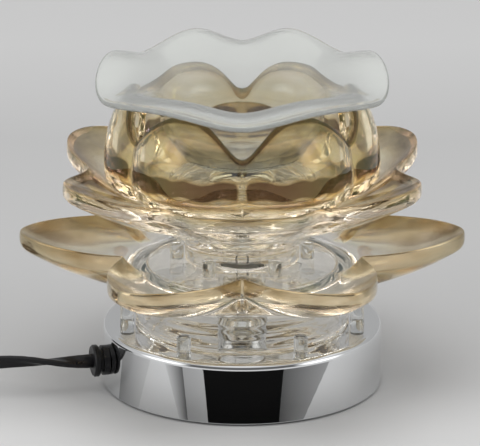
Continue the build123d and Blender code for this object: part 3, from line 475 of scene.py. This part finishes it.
def petal_rows(inner, outer, low, rise, power, places, lustre):
    """Rows along a petal at the places t: radius inner + (outer - inner) t, height low + rise t^power,
    and the lustre that its function gives at t."""
    return [
        (row(inner + (outer - inner) * t, low + rise * t**power, lustre(t)), 0.0) for t in places
    ]


def tier(name, corners, finish, body, replaced):
    """One closed surface from its soft corners, listed from the hole outward underneath."""
    rows = soften([(corner, soft * MM) for corner, soft in corners])
    faces = grid_faces(len(rows), columns, True)
    places = ring_places(rows, round_angles)
    make_piece(name, places, faces, finish, body, replaced, rows[..., 2])


print("columns round a tier", columns)

# %% [markdown]
# ## Lower tier
# The lowest tier stands on the plate with a high foot, and its six long petals are shallow dishes with
# a thick champagne rim. The petal's reach falls from its blunt tip to the valley beside it as a power of
# the share, and the top and the underside rise to the rim as powers too, steeper at the tip.

# %% Lower tier
share = softened(sector_share(0.0), 0.04)
blunt = 0.09
fall = (np.sqrt(share**2 + blunt**2) - blunt) / (math.sqrt(1 + blunt**2) - blunt)
valley_radius, petal_reach = 51.0, 31.9
reach = valley_radius + petal_reach * (1 - fall**1.2)
# From tip to valley the rim drops a little and its band grows thicker
tip_rim, rim_drop = 35.2, 1.9
rim = tip_rim - rim_drop * smooth(share)
tip_band, band_growth = 5.4, 1.4
band = tip_band + band_growth * np.sqrt(share)
hole, floor_under, floor_top = 11.5, 19.0, 24.0
under_inner, under_low, top_inner = 44, 17, 37
foot_inner, foot_outer = 36.0, 40.0
corners = bare_corners([
    (hole, floor_under, 0.8), (foot_inner, floor_under, 1.5), (foot_inner, 0.0, 1.2),
    (foot_outer, 0.0, 1.2), (foot_outer, 14.5, 2.5), (43.0, under_low, 1.5),
])
corners += petal_rows(
    under_inner, reach, under_low, rim - band - under_low, 2.2 - 0.9 * share,
    np.linspace(0.12, 0.93, 12), lambda t: 0.30 * smooth(t),
)
corners += [(row(reach, rim - band, 0.75), 2.2), (row(reach, rim, 0.92), 2.4)]
corners += petal_rows(
    top_inner, reach, floor_top, rim - floor_top, 2.8 - 0.9 * share, np.linspace(0.95, 0.04, 16),
    lambda t: np.interp(t, [0.0, 0.15, 0.35, 0.7, 1.0], [0.2, 0.35, 0.65, 0.85, 0.95]),
)
corners += bare_corners([(hole, floor_top, 0.8)])
tier("lotus_lower_tier", corners, low_glass, "lower_glass", ("lower_tier",))

# %% [markdown]
# ## Middle tier
# The middle tier stands on the lower one's floor, with its petals turned by half a petal. They are
# round leaves, so the reach follows a cosine, and between them the rim sags. Its underside stays clear,
# and the brown lies along the top of the rim.

# %% Middle tier
share = softened(sector_share(math.pi / petals), 0.24)
valley_radius, petal_reach = 57.5, 15.4
reach = valley_radius + petal_reach * np.cos(math.pi / 2 * share)
sag = 3.2 * smooth((share - 0.1) / 0.9)
hole, floor_under, floor_top = 12.0, 39.5, 46.0
foot_inner, foot_outer, foot_low = 17.7, 21.3, 24.0
bowl_edge, bowl_level = 36.0, 42.0
top_inner, top_low = 29, 46.2
corners = bare_corners([
    (hole, floor_under, 0.8), (foot_inner, floor_under, 2.0), (foot_inner, foot_low, 1.0),
    (foot_outer, foot_low, 1.0), (foot_outer, 31.0, 3.0), (bowl_edge, bowl_level, 3.0),
])
corners += petal_rows(
    bowl_edge, reach, bowl_level, 15.0 - sag, 1.5, np.linspace(0.15, 0.93, 12),
    lambda t: 0.12 * smooth((t - 0.4) / 0.5),
)
corners += [
    (row(reach, 57.2 - sag, 0.12), 2.9), (row(reach + 0.1, 60.0 - sag, 0.22), 1.0),
    (row(reach - 0.2, 63.0 - sag, 0.95), 2.8),
]
corners += petal_rows(
    top_inner, reach, top_low, 16.6 - sag, 1.35 + 0.85 * share, np.linspace(0.94, 0.06, 16),
    lambda t: np.interp(t, [0.0, 0.4, 0.62, 0.8, 0.9, 1.0], [0.1, 0.35, 0.6, 0.85, 0.95, 0.8]),
)
corners += bare_corners([(hole, floor_top, 0.8)])
tier("lotus_middle_tier", corners, middle_glass, "middle_glass", ("middle_tier",))

# %% [markdown]
# ## Upper tier
# Six upright lobes stand like a closed bud, each with its own round belly and an arched lip, and the
# brown lustre has run down and pooled above the belly. A lobe is turned about its own axis, which stands
# out from the lamp's, and the six meet in creases. So the outline is that of one lobe, and its distance
# from the lamp's axis is worked out at each angle.

# %% Lines of a lobe
def smooth_line(points, count):
    """Dense points of a Catmull-Rom curve through the given ones, and the distance along it. Between b
    and c, with neighbours a and d, it is half of 2b + (c - a) t + (2a - 5b + 4c - d) t^2
    + (3b - a - 3c + d) t^3."""
    points = np.array(points, float)
    padded = np.vstack([2 * points[0] - points[1], points, 2 * points[-1] - points[-2]])
    t = np.linspace(0, 1, count, endpoint=False)[:, None]
    pieces = []
    for a, b, c, d in zip(padded, padded[1:], padded[2:], padded[3:]):
        square, cube = (2 * a - 5 * b + 4 * c - d) * t**2, (3 * b - a - 3 * c + d) * t**3
        pieces.append(0.5 * (2 * b + (c - a) * t + square + cube))
    line = np.vstack(pieces + [points[-1:]])
    along = np.concatenate([[0], np.cumsum(np.hypot(*np.diff(line, axis=0).T))])
    return line, along


lobe_axis = 20.0
outer_line = [
    (12, 49.3), (19.5, 50.0), (27.4, 53.2), (30.7, 56.6), (31.3, 61), (30.7, 69.5), (28.8, 78),
    (25.6, 83.8), (19.9, 88.8),
]
inner_line = [
    (12, 54.1), (18.5, 54.6), (24.0, 57.2), (26.5, 62), (26.5, 69.5), (25.4, 76.8), (23.3, 82.0),
    (18.0, 87.0),
]
outer_lustre = [
    (0.0, 0.0), (0.1, 0.2), (0.22, 0.95), (0.30, 0.38), (0.5, 0.30), (0.7, 0.40), (0.93, 0.46),
    (0.975, 0.62), (1.0, 1.15),
]
inner_lustre = [(0.0, 0.42), (0.06, 0.36), (0.5, 0.26), (0.75, 0.1), (1.0, 0.0)]
share = sector_share(0.0)
turn = share * math.pi / petals
tip_level, notch_depth = 89.0, 13.0
crest = tip_level - notch_depth * softened(share, 0.16) ** 2.6
print("lip from", round(crest.min(), 1), "to", round(crest.max(), 1), "mm above the plate")


# %% Rows of a lobe
pool_level, pool_waver, pool_width = 64.9, 0.6, 3.4


def lobe_rows(points, levels_from, levels_to, lustres, steps, pooled=0.0):
    """Rows up or down a lobe: its own radius r comes from the line, and the lobe's axis stands out by s,
    so the distance from the lamp's axis is s cos a + sqrt(r^2 - (s sin a)^2). The pooled share is
    extra lustre round one level, which wavers a little and clears in the crease between two lobes."""
    line, along = smooth_line(points, 24)
    order = np.argsort(line[:, 1])
    start = np.interp(levels_from, line[order, 1], along[order])
    end = np.interp(levels_to, line[order, 1], along[order])
    places = np.linspace(0, 1, steps)
    middle_of_pool = pool_level + pool_waver * np.sin(11.0 * share)
    rows = []
    for t, lustre in zip(places, np.interp(places, *zip(*lustres))):
        place = start + (end - start) * t
        own = np.interp(place, along, line[:, 0])
        level = np.interp(place, along, line[:, 1])
        inside = np.maximum(own**2 - (lobe_axis * np.sin(turn)) ** 2, 1.0)
        out = lobe_axis * np.cos(turn) + np.sqrt(inside)
        pool = pooled * np.exp(-(((level - middle_of_pool) / pool_width) ** 4))
        pool = pool * smooth((0.98 - share) / 0.10)
        rows.append((row(out, level, lustre + pool), 0.0))
    return rows


outer_steps, inner_steps = 44, 26
outer = lobe_rows(outer_line, 49.4, crest - 1.2, outer_lustre, outer_steps, pooled=1.1)
inner = lobe_rows(inner_line, crest - 1.9, 54.2, inner_lustre, inner_steps)
print("rows of a lobe", len(outer) + len(inner))

# %% Upper tier
hole, floor_under, floor_top = 12.0, 49.0, 54.0
foot_inner, foot_outer, foot_low = 25.0, 29.0, 46.0
lip_out, lip_in = outer[-1][0], inner[0][0]
top = (lip_out + lip_in) / 2
top[:, 1] = (crest + base_top) * MM
top[:, 2] = 1.0
lip_lift = [0, 0.0007, 0]
lip = [(lip_out * 2 + top) / 3 + lip_lift, top, (lip_in * 2 + top) / 3 + lip_lift]
corners = bare_corners([
    (hole, floor_under, 0.8), (foot_inner, floor_under, 1.0), (foot_inner, foot_low, 0.8),
    (foot_outer, foot_low, 0.8), (foot_outer, floor_under, 0.5),
])
corners += outer + [(edge, 0.0) for edge in lip] + inner + bare_corners([(hole, floor_top, 0.8)])
tier("lotus_upper_tier", corners, high_glass, "upper_glass", ("upper_tier",))

# %% [markdown]
# ## Frosted glass
# The dish is clear pressed glass whose ruffled flare is frosted by acid, and the well keeps only a faint
# haze. So the finish mixes clear and etched glass by the share of frost that each point carries, with
# the edge of the frost a little uneven.

# %% Frosted glass
frost = Finish(
    "frosted and clear glass", Base_Color=(0.965, 0.97, 0.945), Transmission_Weight=1.0,
    IOR=glass_index, Roughness=0.01,
)
grain = frost.noise(scale=420.0, detail=4.0)
cloud = frost.noise(scale=25.0, detail=2.0)
etched = frost.principled(
    Base_Color=(0.88, 0.90, 0.87), Transmission_Weight=0.78, IOR=glass_index,
    Roughness=grain.between(0.3, 0.8) * 0.04 + 0.035,
)
frost.mix_in(etched, (frost.attribute("lustre") + (cloud - 0.5) * 0.25).clamp())
frost.bump(grain, strength=0.10, distance=0.00015)
print("finish", frost.material.name)

# %% [markdown]
# ## Dish
# The dish is pressed, then its flare is pulled by hand into six waves while it is hot, so the waves are
# not quite even: towards the back the crests stand closer together. The outline at each angle is a chain
# of five arcs, up the well and the flare, round the lip and back, and a crest share moves the flare's
# bend and its lip between their places at a dip and at a crest.

# %% Arcs of the dish
def arc_through(first, middle, last, steps, frosted):
    """Rows of the circle through three points of each outline, after the first and up to the last, found
    from the centre at equal distance from all three and the angles seen from there. The frost goes
    through its three shares along the way."""
    (ax, ay), (bx, by), (cx, cy) = [(p[:, 0], p[:, 1]) for p in (first, middle, last)]
    twice = 2 * (ax * (by - cy) + bx * (cy - ay) + cx * (ay - by))
    a2, b2, c2 = ax**2 + ay**2, bx**2 + by**2, cx**2 + cy**2
    x = (a2 * (by - cy) + b2 * (cy - ay) + c2 * (ay - by)) / twice
    y = (a2 * (cx - bx) + b2 * (ax - cx) + c2 * (bx - ax)) / twice
    radius = np.hypot(ax - x, ay - y)
    start, end = np.arctan2(ay - y, ax - x), np.arctan2(cy - y, cx - x)
    middle_angle = np.arctan2(by - y, bx - x)
    full = 2 * math.pi
    sweep = (end - start) % full
    sweep = np.where((middle_angle - start) % full < sweep, sweep, sweep - full)
    rows = []
    for t in np.linspace(0, 1, steps)[1:]:
        angle = start + sweep * t
        frost_here = 0 * x + np.interp(t, [0.0, 0.6, 1.0], frosted)
        rows.append(np.stack([x + radius * np.cos(angle), y + radius * np.sin(angle), frost_here], -1))
    return rows


pull, sector = 0.241, math.pi / 3
pulled = (round_angles - pull * np.cos(round_angles) * (1 + np.sin(round_angles))) % sector
share = np.abs(pulled - sector * (pulled > sector / 2)) / (sector / 2)
crest = ((1 + np.cos(math.pi * share)) / 2) ** 0.85
print("crest share", round(crest.min(), 2), "to", round(crest.max(), 2))


# %% Dish
def dip_to_crest(dip, top):
    """A size at each angle: dip + (top - dip) crest share."""
    return dip + (top - dip) * crest


# The near crests hang lower than those at the sides and the back
behind = (1 + np.sin(round_angles)) / 2
near_crest, crest_rise = 94.6, 4.2
crest_level = near_crest + crest_rise * smooth(behind / 0.5)
near_dip, dip_rise = 91.9, 0.6
dip_level = near_dip + dip_rise * behind
bend_radius, bend_level = dip_to_crest(39.6, 38.1), dip_to_crest(89.8, 91.8)
lip_radius, lip_level = dip_to_crest(54.6, 52.2), dip_to_crest(dip_level, crest_level)
neck, wall, lip_wall = 30.4, 3.0, 2.2
well_under, well_top = 63.0, 66.4

neck_under, neck_over = row(neck, 80.0), row(neck - wall, 80.4)
lip_under, lip_over = row(lip_radius, lip_level - lip_wall), row(lip_radius - 0.7, lip_level)
rows = [row(radius, well_under, 0.26) for radius in (0.0, 10.0, 21.0)]
rows += arc_through(row(22.0, 63.05), row(28.1, 69.8), neck_under, 14, (0.26, 0.28, 0.3))
rows += arc_through(neck_under, row(bend_radius, bend_level), lip_under, 26, (0.30, 0.85, 1.0))
rows += arc_through(lip_under, row(lip_radius + 0.75, lip_level - 0.95), lip_over, 8, (1.0, 1.0, 1.0))
rows += arc_through(
    lip_over, row(bend_radius - 1.95, bend_level + 1.95), neck_over, 26, (1.0, 0.75, 0.25)
)
rows += arc_through(neck_over, row(25.3, 71.3), row(20.5, well_top), 14, (0.25, 0.22, 0.2))
rows += [row(radius, well_top, 0.2) for radius in (18.5, 9.0, 0.0)]
rows = np.array(rows)
make_piece(
    "ruffled_dish", ring_places(rows, round_angles), grid_faces(len(rows), columns, False),
    frost, "dish_glass", ("dish",), rows[..., 2],
)

# %% [markdown]
# ## Pegs
# Six clear pegs round each of the two lower feet keep the glass in its place. A clear peg shows a dark
# line down each side and a bright top, and only a smooth round one does, so they are turned again here.

# %% Pegs
clear = Finish("clear peg", Base_Color=(0.84, 0.85, 0.84), Transmission_Weight=1.0, IOR=1.49)
clear.set(Roughness=clear.noise(scale=150.0).between(0.4, 0.9) * 0.02 + 0.006)
clear.bump(clear.noise(scale=200.0, detail=1.0), strength=0.1, distance=0.0002)
peg_outline = [(0.0, 0.0), (2.35, 0.0), (2.6, 0.25), (2.6, 5.3), (2.5, 5.75), (2.2, 5.97), (0.0, 6.0)]
peg_columns = 32


def pegs(name, circle, low, body, replaced):
    """Six turned pegs: each is a ring of its outline's points about its own axis on the circle."""
    own = np.linspace(0.0, 2 * math.pi, peg_columns, endpoint=False)
    rows = [np.tile([r * MM, (z + low) * MM], (peg_columns, 1)) for r, z in peg_outline]
    one_peg = ring_places(np.array(rows), own).reshape(-1, 3)
    one_faces = grid_faces(len(rows), peg_columns, False)
    places, faces = [], []
    for index in range(petals):
        around = index * math.pi / 3
        places.append(one_peg + [circle * MM * math.cos(around), circle * MM * math.sin(around), 0.0])
        faces.append(one_faces + index * len(one_peg))
    make_piece(
        name, np.concatenate(places), np.concatenate(faces), clear, body, replaced
    )


pegs("plate_pegs", 43.0, 24.0, "base", ("base_pegs",))
pegs("floor_pegs", 24.3, 48.0, "lower_glass", ("tier_pegs",))

# %% [markdown]
# ## Finishes of the solid nodes
# The lamp, its holder, the dimmer and the fasteners keep the shapes of the CAD model. Each gets the
# finish of its real material, with the fine unevenness that the material has: moulded plastic is a
# little cloudy in its gloss, ceramic has grains under its glaze, and stamped metal is brushed.

# %% Finishes of the solid nodes
def solid_finish(name, dark, light, gloss, scale, grain, stretch=(1.0, 1.0, 1.0), **constants):
    """A colour that drifts between two near tones, and a roughness and a relief from finer noise."""
    made = Finish(name, **constants)
    drift = made.noise(scale, 3.0, stretch)
    fine = made.noise(scale * 6.0, 2.0, stretch)
    made.set(
        Base_Color=drift.between(0.3, 0.7).blend(dark, light),
        Roughness=fine.between(0.25, 0.8) * 0.18 + gloss,
    )
    made.bump(fine, strength=grain, distance=0.0001)
    return made


def dress(finish, *names):
    """Puts one finish on the CAD nodes named."""
    for name in names:
        mesh = nodes[name].data
        mesh.materials.clear()
        mesh.materials.append(finish.material)
    print(finish.material.name, "on", ", ".join(names))


# %% Moulded and drawn materials
plastic = solid_finish(
    "black moulded plastic", (0.007, 0.007, 0.008), (0.012, 0.012, 0.013),
    gloss=0.32, scale=60.0, grain=0.25, Specular_IOR_Level=0.35,
)
dress(plastic, "base_cover", "dimmer_chip", "dimmer_triac", "cord_bushing", "cord_tie", "plug_body")
steel = solid_finish(
    "plain steel", (0.46, 0.46, 0.47), (0.56, 0.56, 0.57),
    gloss=0.20, scale=90.0, grain=0.2, stretch=(1.0, 1.0, 5.0), Metallic=1.0,
)
dress(steel, "cover_posts", "cover_screws", "board_screws", "lamp_nipple", "nipple_nuts")
rubber = solid_finish(
    "foot rubber", (0.035, 0.035, 0.036), (0.06, 0.06, 0.06), gloss=0.62, scale=120.0, grain=0.5
)
dress(rubber, "feet")
insulation = solid_finish(
    "lead insulation", (0.42, 0.42, 0.40), (0.52, 0.52, 0.50), gloss=0.34, scale=100.0, grain=0.25
)
dress(insulation, "supply_leads", "lamp_leads", "touch_wire")

# %% Dimmer materials
board = solid_finish(
    "board lacquer", (0.012, 0.10, 0.035), (0.02, 0.15, 0.05), gloss=0.28, scale=80.0, grain=0.3
)
dress(board, "circuit_board")
capacitor = solid_finish(
    "capacitor film", (0.55, 0.36, 0.04), (0.66, 0.45, 0.07), gloss=0.35, scale=70.0, grain=0.2
)
dress(capacitor, "dimmer_capacitor")
copper = solid_finish(
    "copper winding", (0.42, 0.17, 0.08), (0.58, 0.25, 0.12),
    gloss=0.22, scale=150.0, grain=0.6, stretch=(1.0, 1.0, 4.0), Metallic=1.0,
)
dress(copper, "dimmer_choke")
brass = solid_finish(
    "terminal brass", (0.55, 0.40, 0.17), (0.68, 0.52, 0.25),
    gloss=0.20, scale=110.0, grain=0.2, Metallic=1.0,
)
dress(brass, "touch_terminal", "holder_contacts", "plug_blades")

# %% Lamp materials
ceramic = solid_finish(
    "white ceramic", (0.66, 0.65, 0.62), (0.76, 0.75, 0.72),
    gloss=0.30, scale=130.0, grain=0.4, Coat_Weight=0.2,
)
dress(ceramic, "lamp_holder")
tungsten = solid_finish(
    "tungsten wire", (0.30, 0.30, 0.31), (0.42, 0.42, 0.43),
    gloss=0.28, scale=300.0, grain=0.5, Metallic=1.0,
)
dress(tungsten, "bulb_pins", "bulb_filament")
lamp_glass = Finish("lamp glass", Base_Color=(0.985, 0.985, 0.98), Transmission_Weight=1.0, IOR=1.46)
lamp_glass.set(Roughness=lamp_glass.noise(scale=80.0).between(0.5, 0.9) * 0.02 + 0.004)
lamp_glass.bump(lamp_glass.noise(scale=90.0, detail=1.0), strength=0.15, distance=0.0002)
dress(lamp_glass, "bulb_capsule")

# %% [markdown]
# ## Cord
# The cord is a flat twin: two round cores side by side in one black jacket. It is one smooth spline
# through the same route as the solid cord, level out of its bushing, down to the table, into its tied
# coil and out to the plug. Its section is the outline of two circles grown together, and a tilt at
# each point gives the half twist that the photograph shows.

# %% Route of the cord
def polar(radius, degrees, height):
    """A point in millimetres from its distance and direction from the lamp's axis and its height."""
    around = math.radians(degrees)
    return [radius * math.cos(around), radius * math.sin(around), height]


exit_turn, exit_level = 195.0, 12.5
heading = polar(1.0, 166.0, 0.0)
lead_in = 29.0
coil_start, coil_from = [-176.0, -8.0, 4.2], 256.0
coil_turns, coil_pitch, coil_layer, steps_a_turn = 7, 5.9, 5.8, 14
coil_reach = 30.0 + coil_pitch * coil_turns / 4
coil_middle = np.array(coil_start) - polar(coil_reach, coil_from, 0.0)

# The turns go inward on the table, then outward on top of themselves
done = np.arange(0, coil_turns * steps_a_turn + 1) / steps_a_turn
coil_radius = coil_reach - coil_pitch * np.minimum(done, coil_turns - done)
climb = np.clip((done - coil_turns / 2) * 2 + 0.5, 0, 1)
coil_angle = np.radians(coil_from - 360.0 * done)
coil_points = np.stack(
    [
        coil_middle[0] + coil_radius * np.cos(coil_angle),
        coil_middle[1] + coil_radius * np.sin(coil_angle),
        coil_start[2] + coil_layer * climb * climb * (3 - 2 * climb),
    ],
    -1,
)

route = [polar(56.4, exit_turn, exit_level), polar(66.0, exit_turn, exit_level)]
route += [[-91.0, -17.0, 13.4], [-119.0, -17.4, 8.6]]
route += [[coil_start[k] - lead_in * heading[k] for k in range(3)]]
tilts = [0.0, 75.0, 186.0, 180.0, 180.0]
route += coil_points.tolist()
route += [[coil_points[-1][k] + lead_in * heading[k] for k in range(3)]]
route += [[-228.0, 8.0, 4.5], [-250.0, 20.0, 4.5]]
tilts += [180.0] * (len(route) - len(tilts))
print("cord points", len(route))

# %% Section of the cord
# Radius of one core's jacket and how far its middle is from the cord's, in millimetres
core, apart = 1.36, 1.24
waist_depth, waist_width = 0.30, 0.35
section_angles = np.linspace(0.0, 2 * math.pi, 32, endpoint=False)
# Two circles: y is moved apart by its sign, softened by tanh, and x is drawn in at the waist
waist = np.exp(-((np.abs(np.sin(section_angles)) / waist_width) ** 2))
section_x = core * np.cos(section_angles) * (1 - waist_depth * waist)
section_y = core * np.sin(section_angles) + apart * np.tanh(3.2 * np.sin(section_angles))
section_curve = bpy.data.curves.new("cord_section", "CURVE")
section_curve.dimensions = "2D"
outline = section_curve.splines.new("POLY")
outline.points.add(len(section_angles) - 1)
flat = np.stack([section_x * MM, section_y * MM, 0 * section_x, 0 * section_x + 1], -1)
outline.points.foreach_set("co", flat.ravel())
outline.use_cyclic_u = True
section = bpy.data.objects.new("cord_section", section_curve)
bpy.context.scene.collection.objects.link(section)
section.hide_render = section.hide_viewport = True
print("section", round(np.ptp(section_x), 2), "by", round(np.ptp(section_y), 2), "mm")

# %% Cord
jacket = Finish("black cord jacket", Base_Color=(0.007, 0.007, 0.008), Specular_IOR_Level=0.38)
jacket.set(Roughness=jacket.noise(scale=90.0, detail=3.0).between(0.3, 0.8) * 0.14 + 0.26)
jacket.bump(jacket.noise(scale=300.0, detail=3.0), strength=0.15, distance=0.0001)

cord_curve = bpy.data.curves.new("supply_cord", "CURVE")
cord_curve.dimensions = "3D"
cord_curve.twist_mode = "Z_UP"
spline = cord_curve.splines.new("NURBS")
spline.points.add(len(route) - 1)
for point, place, tilt in zip(spline.points, route, tilts):
    point.co = (*[value * MM for value in place], 1.0)
    point.tilt = math.radians(tilt)
spline.order_u = 3
spline.use_endpoint_u = True
spline.resolution_u = 6
cord_curve.bevel_mode = "OBJECT"
cord_curve.bevel_object = section
cord_curve.use_fill_caps = True
cord_curve.materials.append(jacket.material)
supply_cord = bpy.data.objects.new("supply_cord", cord_curve)
bpy.context.scene.collection.objects.link(supply_cord)
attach(supply_cord, "base")
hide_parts("cord", "cord_coil", "cord_tail")
[value * MM for value in route[0]]

# %% [markdown]
# ## Floor and lamps
# One large pale floor fills the picture, as the photograph's paper does. Its tone changes from front to
# back
# as painted light and shade: lighter in front of the object, where it lifts the object's shadow, and darker
# in a band just behind it. The light is soft and plain: a broad box overhead and one on each side. Glass
# and chrome would show the boxes as hard white patches, so mirrored and refracted rays don't see them.

# %% Floor and lamps
floor_mesh = bpy.data.meshes.new("floor")
far = 4.0
floor_mesh.from_pydata([(-far, -far, 0), (far, -far, 0), (far, far, 0), (-far, far, 0)], [], [(0, 1, 2, 3)])
floor = bpy.data.objects.new("floor", floor_mesh)
bpy.context.scene.collection.objects.link(floor)
paper = Finish("pale paper", Roughness=0.75, Specular_IOR_Level=0.2)
ramp_length, ramp_start = 1.2, 0.17
# Painted light and shade on the floor: about 0.6 in front, where it lifts the object's shadow, 0.47 in a
# band just behind the object, and pale again far back
painted_light_floor_tones = [(0.0, 0.62), (0.12, 0.595), (0.2, 0.47), (0.42, 0.47), (0.54, 0.565), (1.0, 0.61)]
paper.set(Base_Color=paper.ramp(paper.axis(1) / ramp_length + ramp_start, painted_light_floor_tones))
floor_mesh.materials.append(paper.material)


def soft_box(name, place, size, power):
    """A rectangular area lamp that faces the object."""
    lamp = bpy.data.lights.new(name, "AREA")
    lamp.shape, lamp.size, lamp.size_y, lamp.energy = "RECTANGLE", size[0], size[1], power
    held = bpy.data.objects.new(name, lamp)
    held.location = place
    object_middle = Vector((0.0, 0.0, 0.06))
    held.rotation_euler = (object_middle - Vector(place)).to_track_quat("-Z", "Y").to_euler()
    held.visible_glossy = held.visible_transmission = False
    bpy.context.scene.collection.objects.link(held)
    print(name, power, "W")


soft_box("top box", (0.0, -0.1, 1.1), (0.8, 0.8), power=4.8)
soft_box("left box", (-0.9, -0.5, 0.5), (0.35, 0.7), power=2.2)
soft_box("right box", (0.9, -0.4, 0.55), (0.35, 0.7), power=1.8)

# %% [markdown]
# ## Studio
# Glass and chrome show what stands round them, so the world has two faces. The camera and the light
# that falls on the object see one plain tone. Mirrored and refracted rays see a studio: bright above,
# pale behind and beside, dark in front, with a soft white glow low on each side. The dark front draws
# the dark lines along every edge of the glass, and the glows give its highlights.

# %% Studio
front_tone, back_tone, side_tone, top_tone, glow_tone, plain_tone = 0.15, 0.50, 0.70, 0.94, 1.7, 0.78
world = bpy.data.worlds.new("studio")
bpy.context.scene.world = world
world.use_nodes = True
tree = world.node_tree
tree.nodes.clear()
start = Shade(tree, None)
direction = start.node("ShaderNodeTexCoord")
split = start.node("ShaderNodeSeparateXYZ")
tree.links.new(direction.outputs["Generated"], split.inputs[0])
aside, ahead, above = [Shade(tree, socket) for socket in split.outputs]
walls = ahead.between(-0.45, 0.3).blend(grey(front_tone), grey(back_tone))
walls = aside.math("ABSOLUTE", aside).between(0.80, 0.97).blend(walls, grey(side_tone))
studio = above.between(0.42, 0.72).blend(walls, grey(top_tone))
for side in (-1.0, 1.0):
    # The glow is where the direction's dot product with its middle comes close to 1
    glow = start.node("ShaderNodeVectorMath", {"operation": "DOT_PRODUCT"})
    tree.links.new(direction.outputs["Generated"], glow.inputs[0])
    glow.inputs[1].default_value = Vector((side * 0.90, -0.38, 0.20)).normalized()
    studio = Shade(tree, glow.outputs["Value"]).between(0.90, 0.985).blend(studio, grey(glow_tone))
rays = start.node("ShaderNodeLightPath")
plain = (Shade(tree, rays.outputs["Is Camera Ray"]) + Shade(tree, rays.outputs["Is Diffuse Ray"])).clamp()
back_light = start.node("ShaderNodeBackground", Strength=0.9)
plug(tree, back_light.inputs["Color"], plain.blend(studio, grey(plain_tone)))
world_out = start.node("ShaderNodeOutputWorld")
tree.links.new(back_light.outputs[0], world_out.inputs[0])
bpy.context.scene.view_settings.view_transform = "Standard"
# Light runs far inside thick glass before it leaves, so the paths may turn more often than by default
light_paths = bpy.context.scene.cycles
light_paths.max_bounces = light_paths.transmission_bounces = light_paths.glossy_bounces = 16
print("studio nodes", len(tree.nodes), "bounces", light_paths.max_bounces)

# %% [markdown]
# ## Dark card: painted reflection
# A chrome cylinder seen a little from above shows only the strip of floor just in front of it. A dark card
# there paints the chrome's reflection: its black band, and the grey bands beside it. Its outline is found
# by following the mirror: at the angle a from the front, a level line of sight turns by 2a, and falls to
# the floor from the height z within z / tan(rise). Only mirrored rays see the card; the camera and the
# lamps don't see it.

# %% Dark card
floor_tone, card_lift = 0.5, 0.0003
lowest_sight, wall_height = 0.6, 22.0
card_rows, card_columns = 8, 12
# Each strip has the angles of its two edges at the drum's foot and at its top, a tone for each edge, and
# the height from which the mirrored sight falls to its far end
# The strips' tones are painted reflection: a black middle band with grey bands beside it, fading to the
# floor's tone at the outer edges
strips = [
    ((-26.0, -22.5), (-34.0, -25.5), (floor_tone, 0.10), 26.0),
    ((-22.5, -13.8), (-25.5, -16.4), (0.34, 0.40), 26.0),
    ((-13.8, 15.0), (-16.4, 17.4), (0.006, 0.006), 30.0),
    ((15.0, 25.0), (17.4, 40.0), (0.10, 0.30), 26.0),
    ((-62.0, -48.0), (-58.0, -40.0), (0.30, floor_tone), 26.0),
]
card_places, card_faces, painted_reflection_tones = [], [], []
for index, (foot_edges, top_edges, tones, highest) in enumerate(strips):
    fall_from, part_across = np.meshgrid(
        np.linspace(lowest_sight, highest, card_rows), np.linspace(0.0, 1.0, card_columns), indexing="ij"
    )
    rise = np.clip(fall_from / wall_height, 0, 1)
    first, last = [foot_edges[k] + (top_edges[k] - foot_edges[k]) * rise for k in (0, 1)]
    turn_by = np.radians(first + (last - first) * part_across)
    run = fall_from / math.tan(camera_rise)
    across = drum_radius * np.sin(turn_by) + run * np.sin(2 * turn_by)
    along = -drum_radius * np.cos(turn_by) - run * np.cos(2 * turn_by)
    grid = np.arange(across.size).reshape(across.shape) + index * across.size
    faces = [grid[:-1, :-1], grid[1:, :-1], grid[1:, 1:], grid[:-1, 1:]]
    card_faces.append(np.stack(faces, -1).reshape(-1, 4))
    places = np.stack([across * MM, along * MM, np.full_like(across, card_lift)], -1)
    card_places.append(places.reshape(-1, 3))
    painted_reflection_tones.append((tones[0] + (tones[1] - tones[0]) * part_across).ravel())

# %% Card on the floor
card_mesh = bpy.data.meshes.new("dark_card")
card_mesh.from_pydata(np.concatenate(card_places).tolist(), [], np.concatenate(card_faces).tolist())
card_mesh.attributes.new("tone", "FLOAT", "POINT").data.foreach_set("value", np.concatenate(painted_reflection_tones))
card_finish = Finish("dark card", Roughness=0.9, Specular_IOR_Level=0.0)
# The card's colour is its painted reflection tone, which only mirrored rays see
card_finish.set(Base_Color=card_finish.attribute("tone").blend(grey(0.0), grey(1.0)))
card_mesh.materials.append(card_finish.material)
card = bpy.data.objects.new("dark_card", card_mesh)
bpy.context.scene.collection.objects.link(card)
card.visible_camera = card.visible_diffuse = card.visible_shadow = card.visible_transmission = False
print("card spreads", np.round(np.ptp(np.concatenate(card_places), axis=0), 3).tolist())
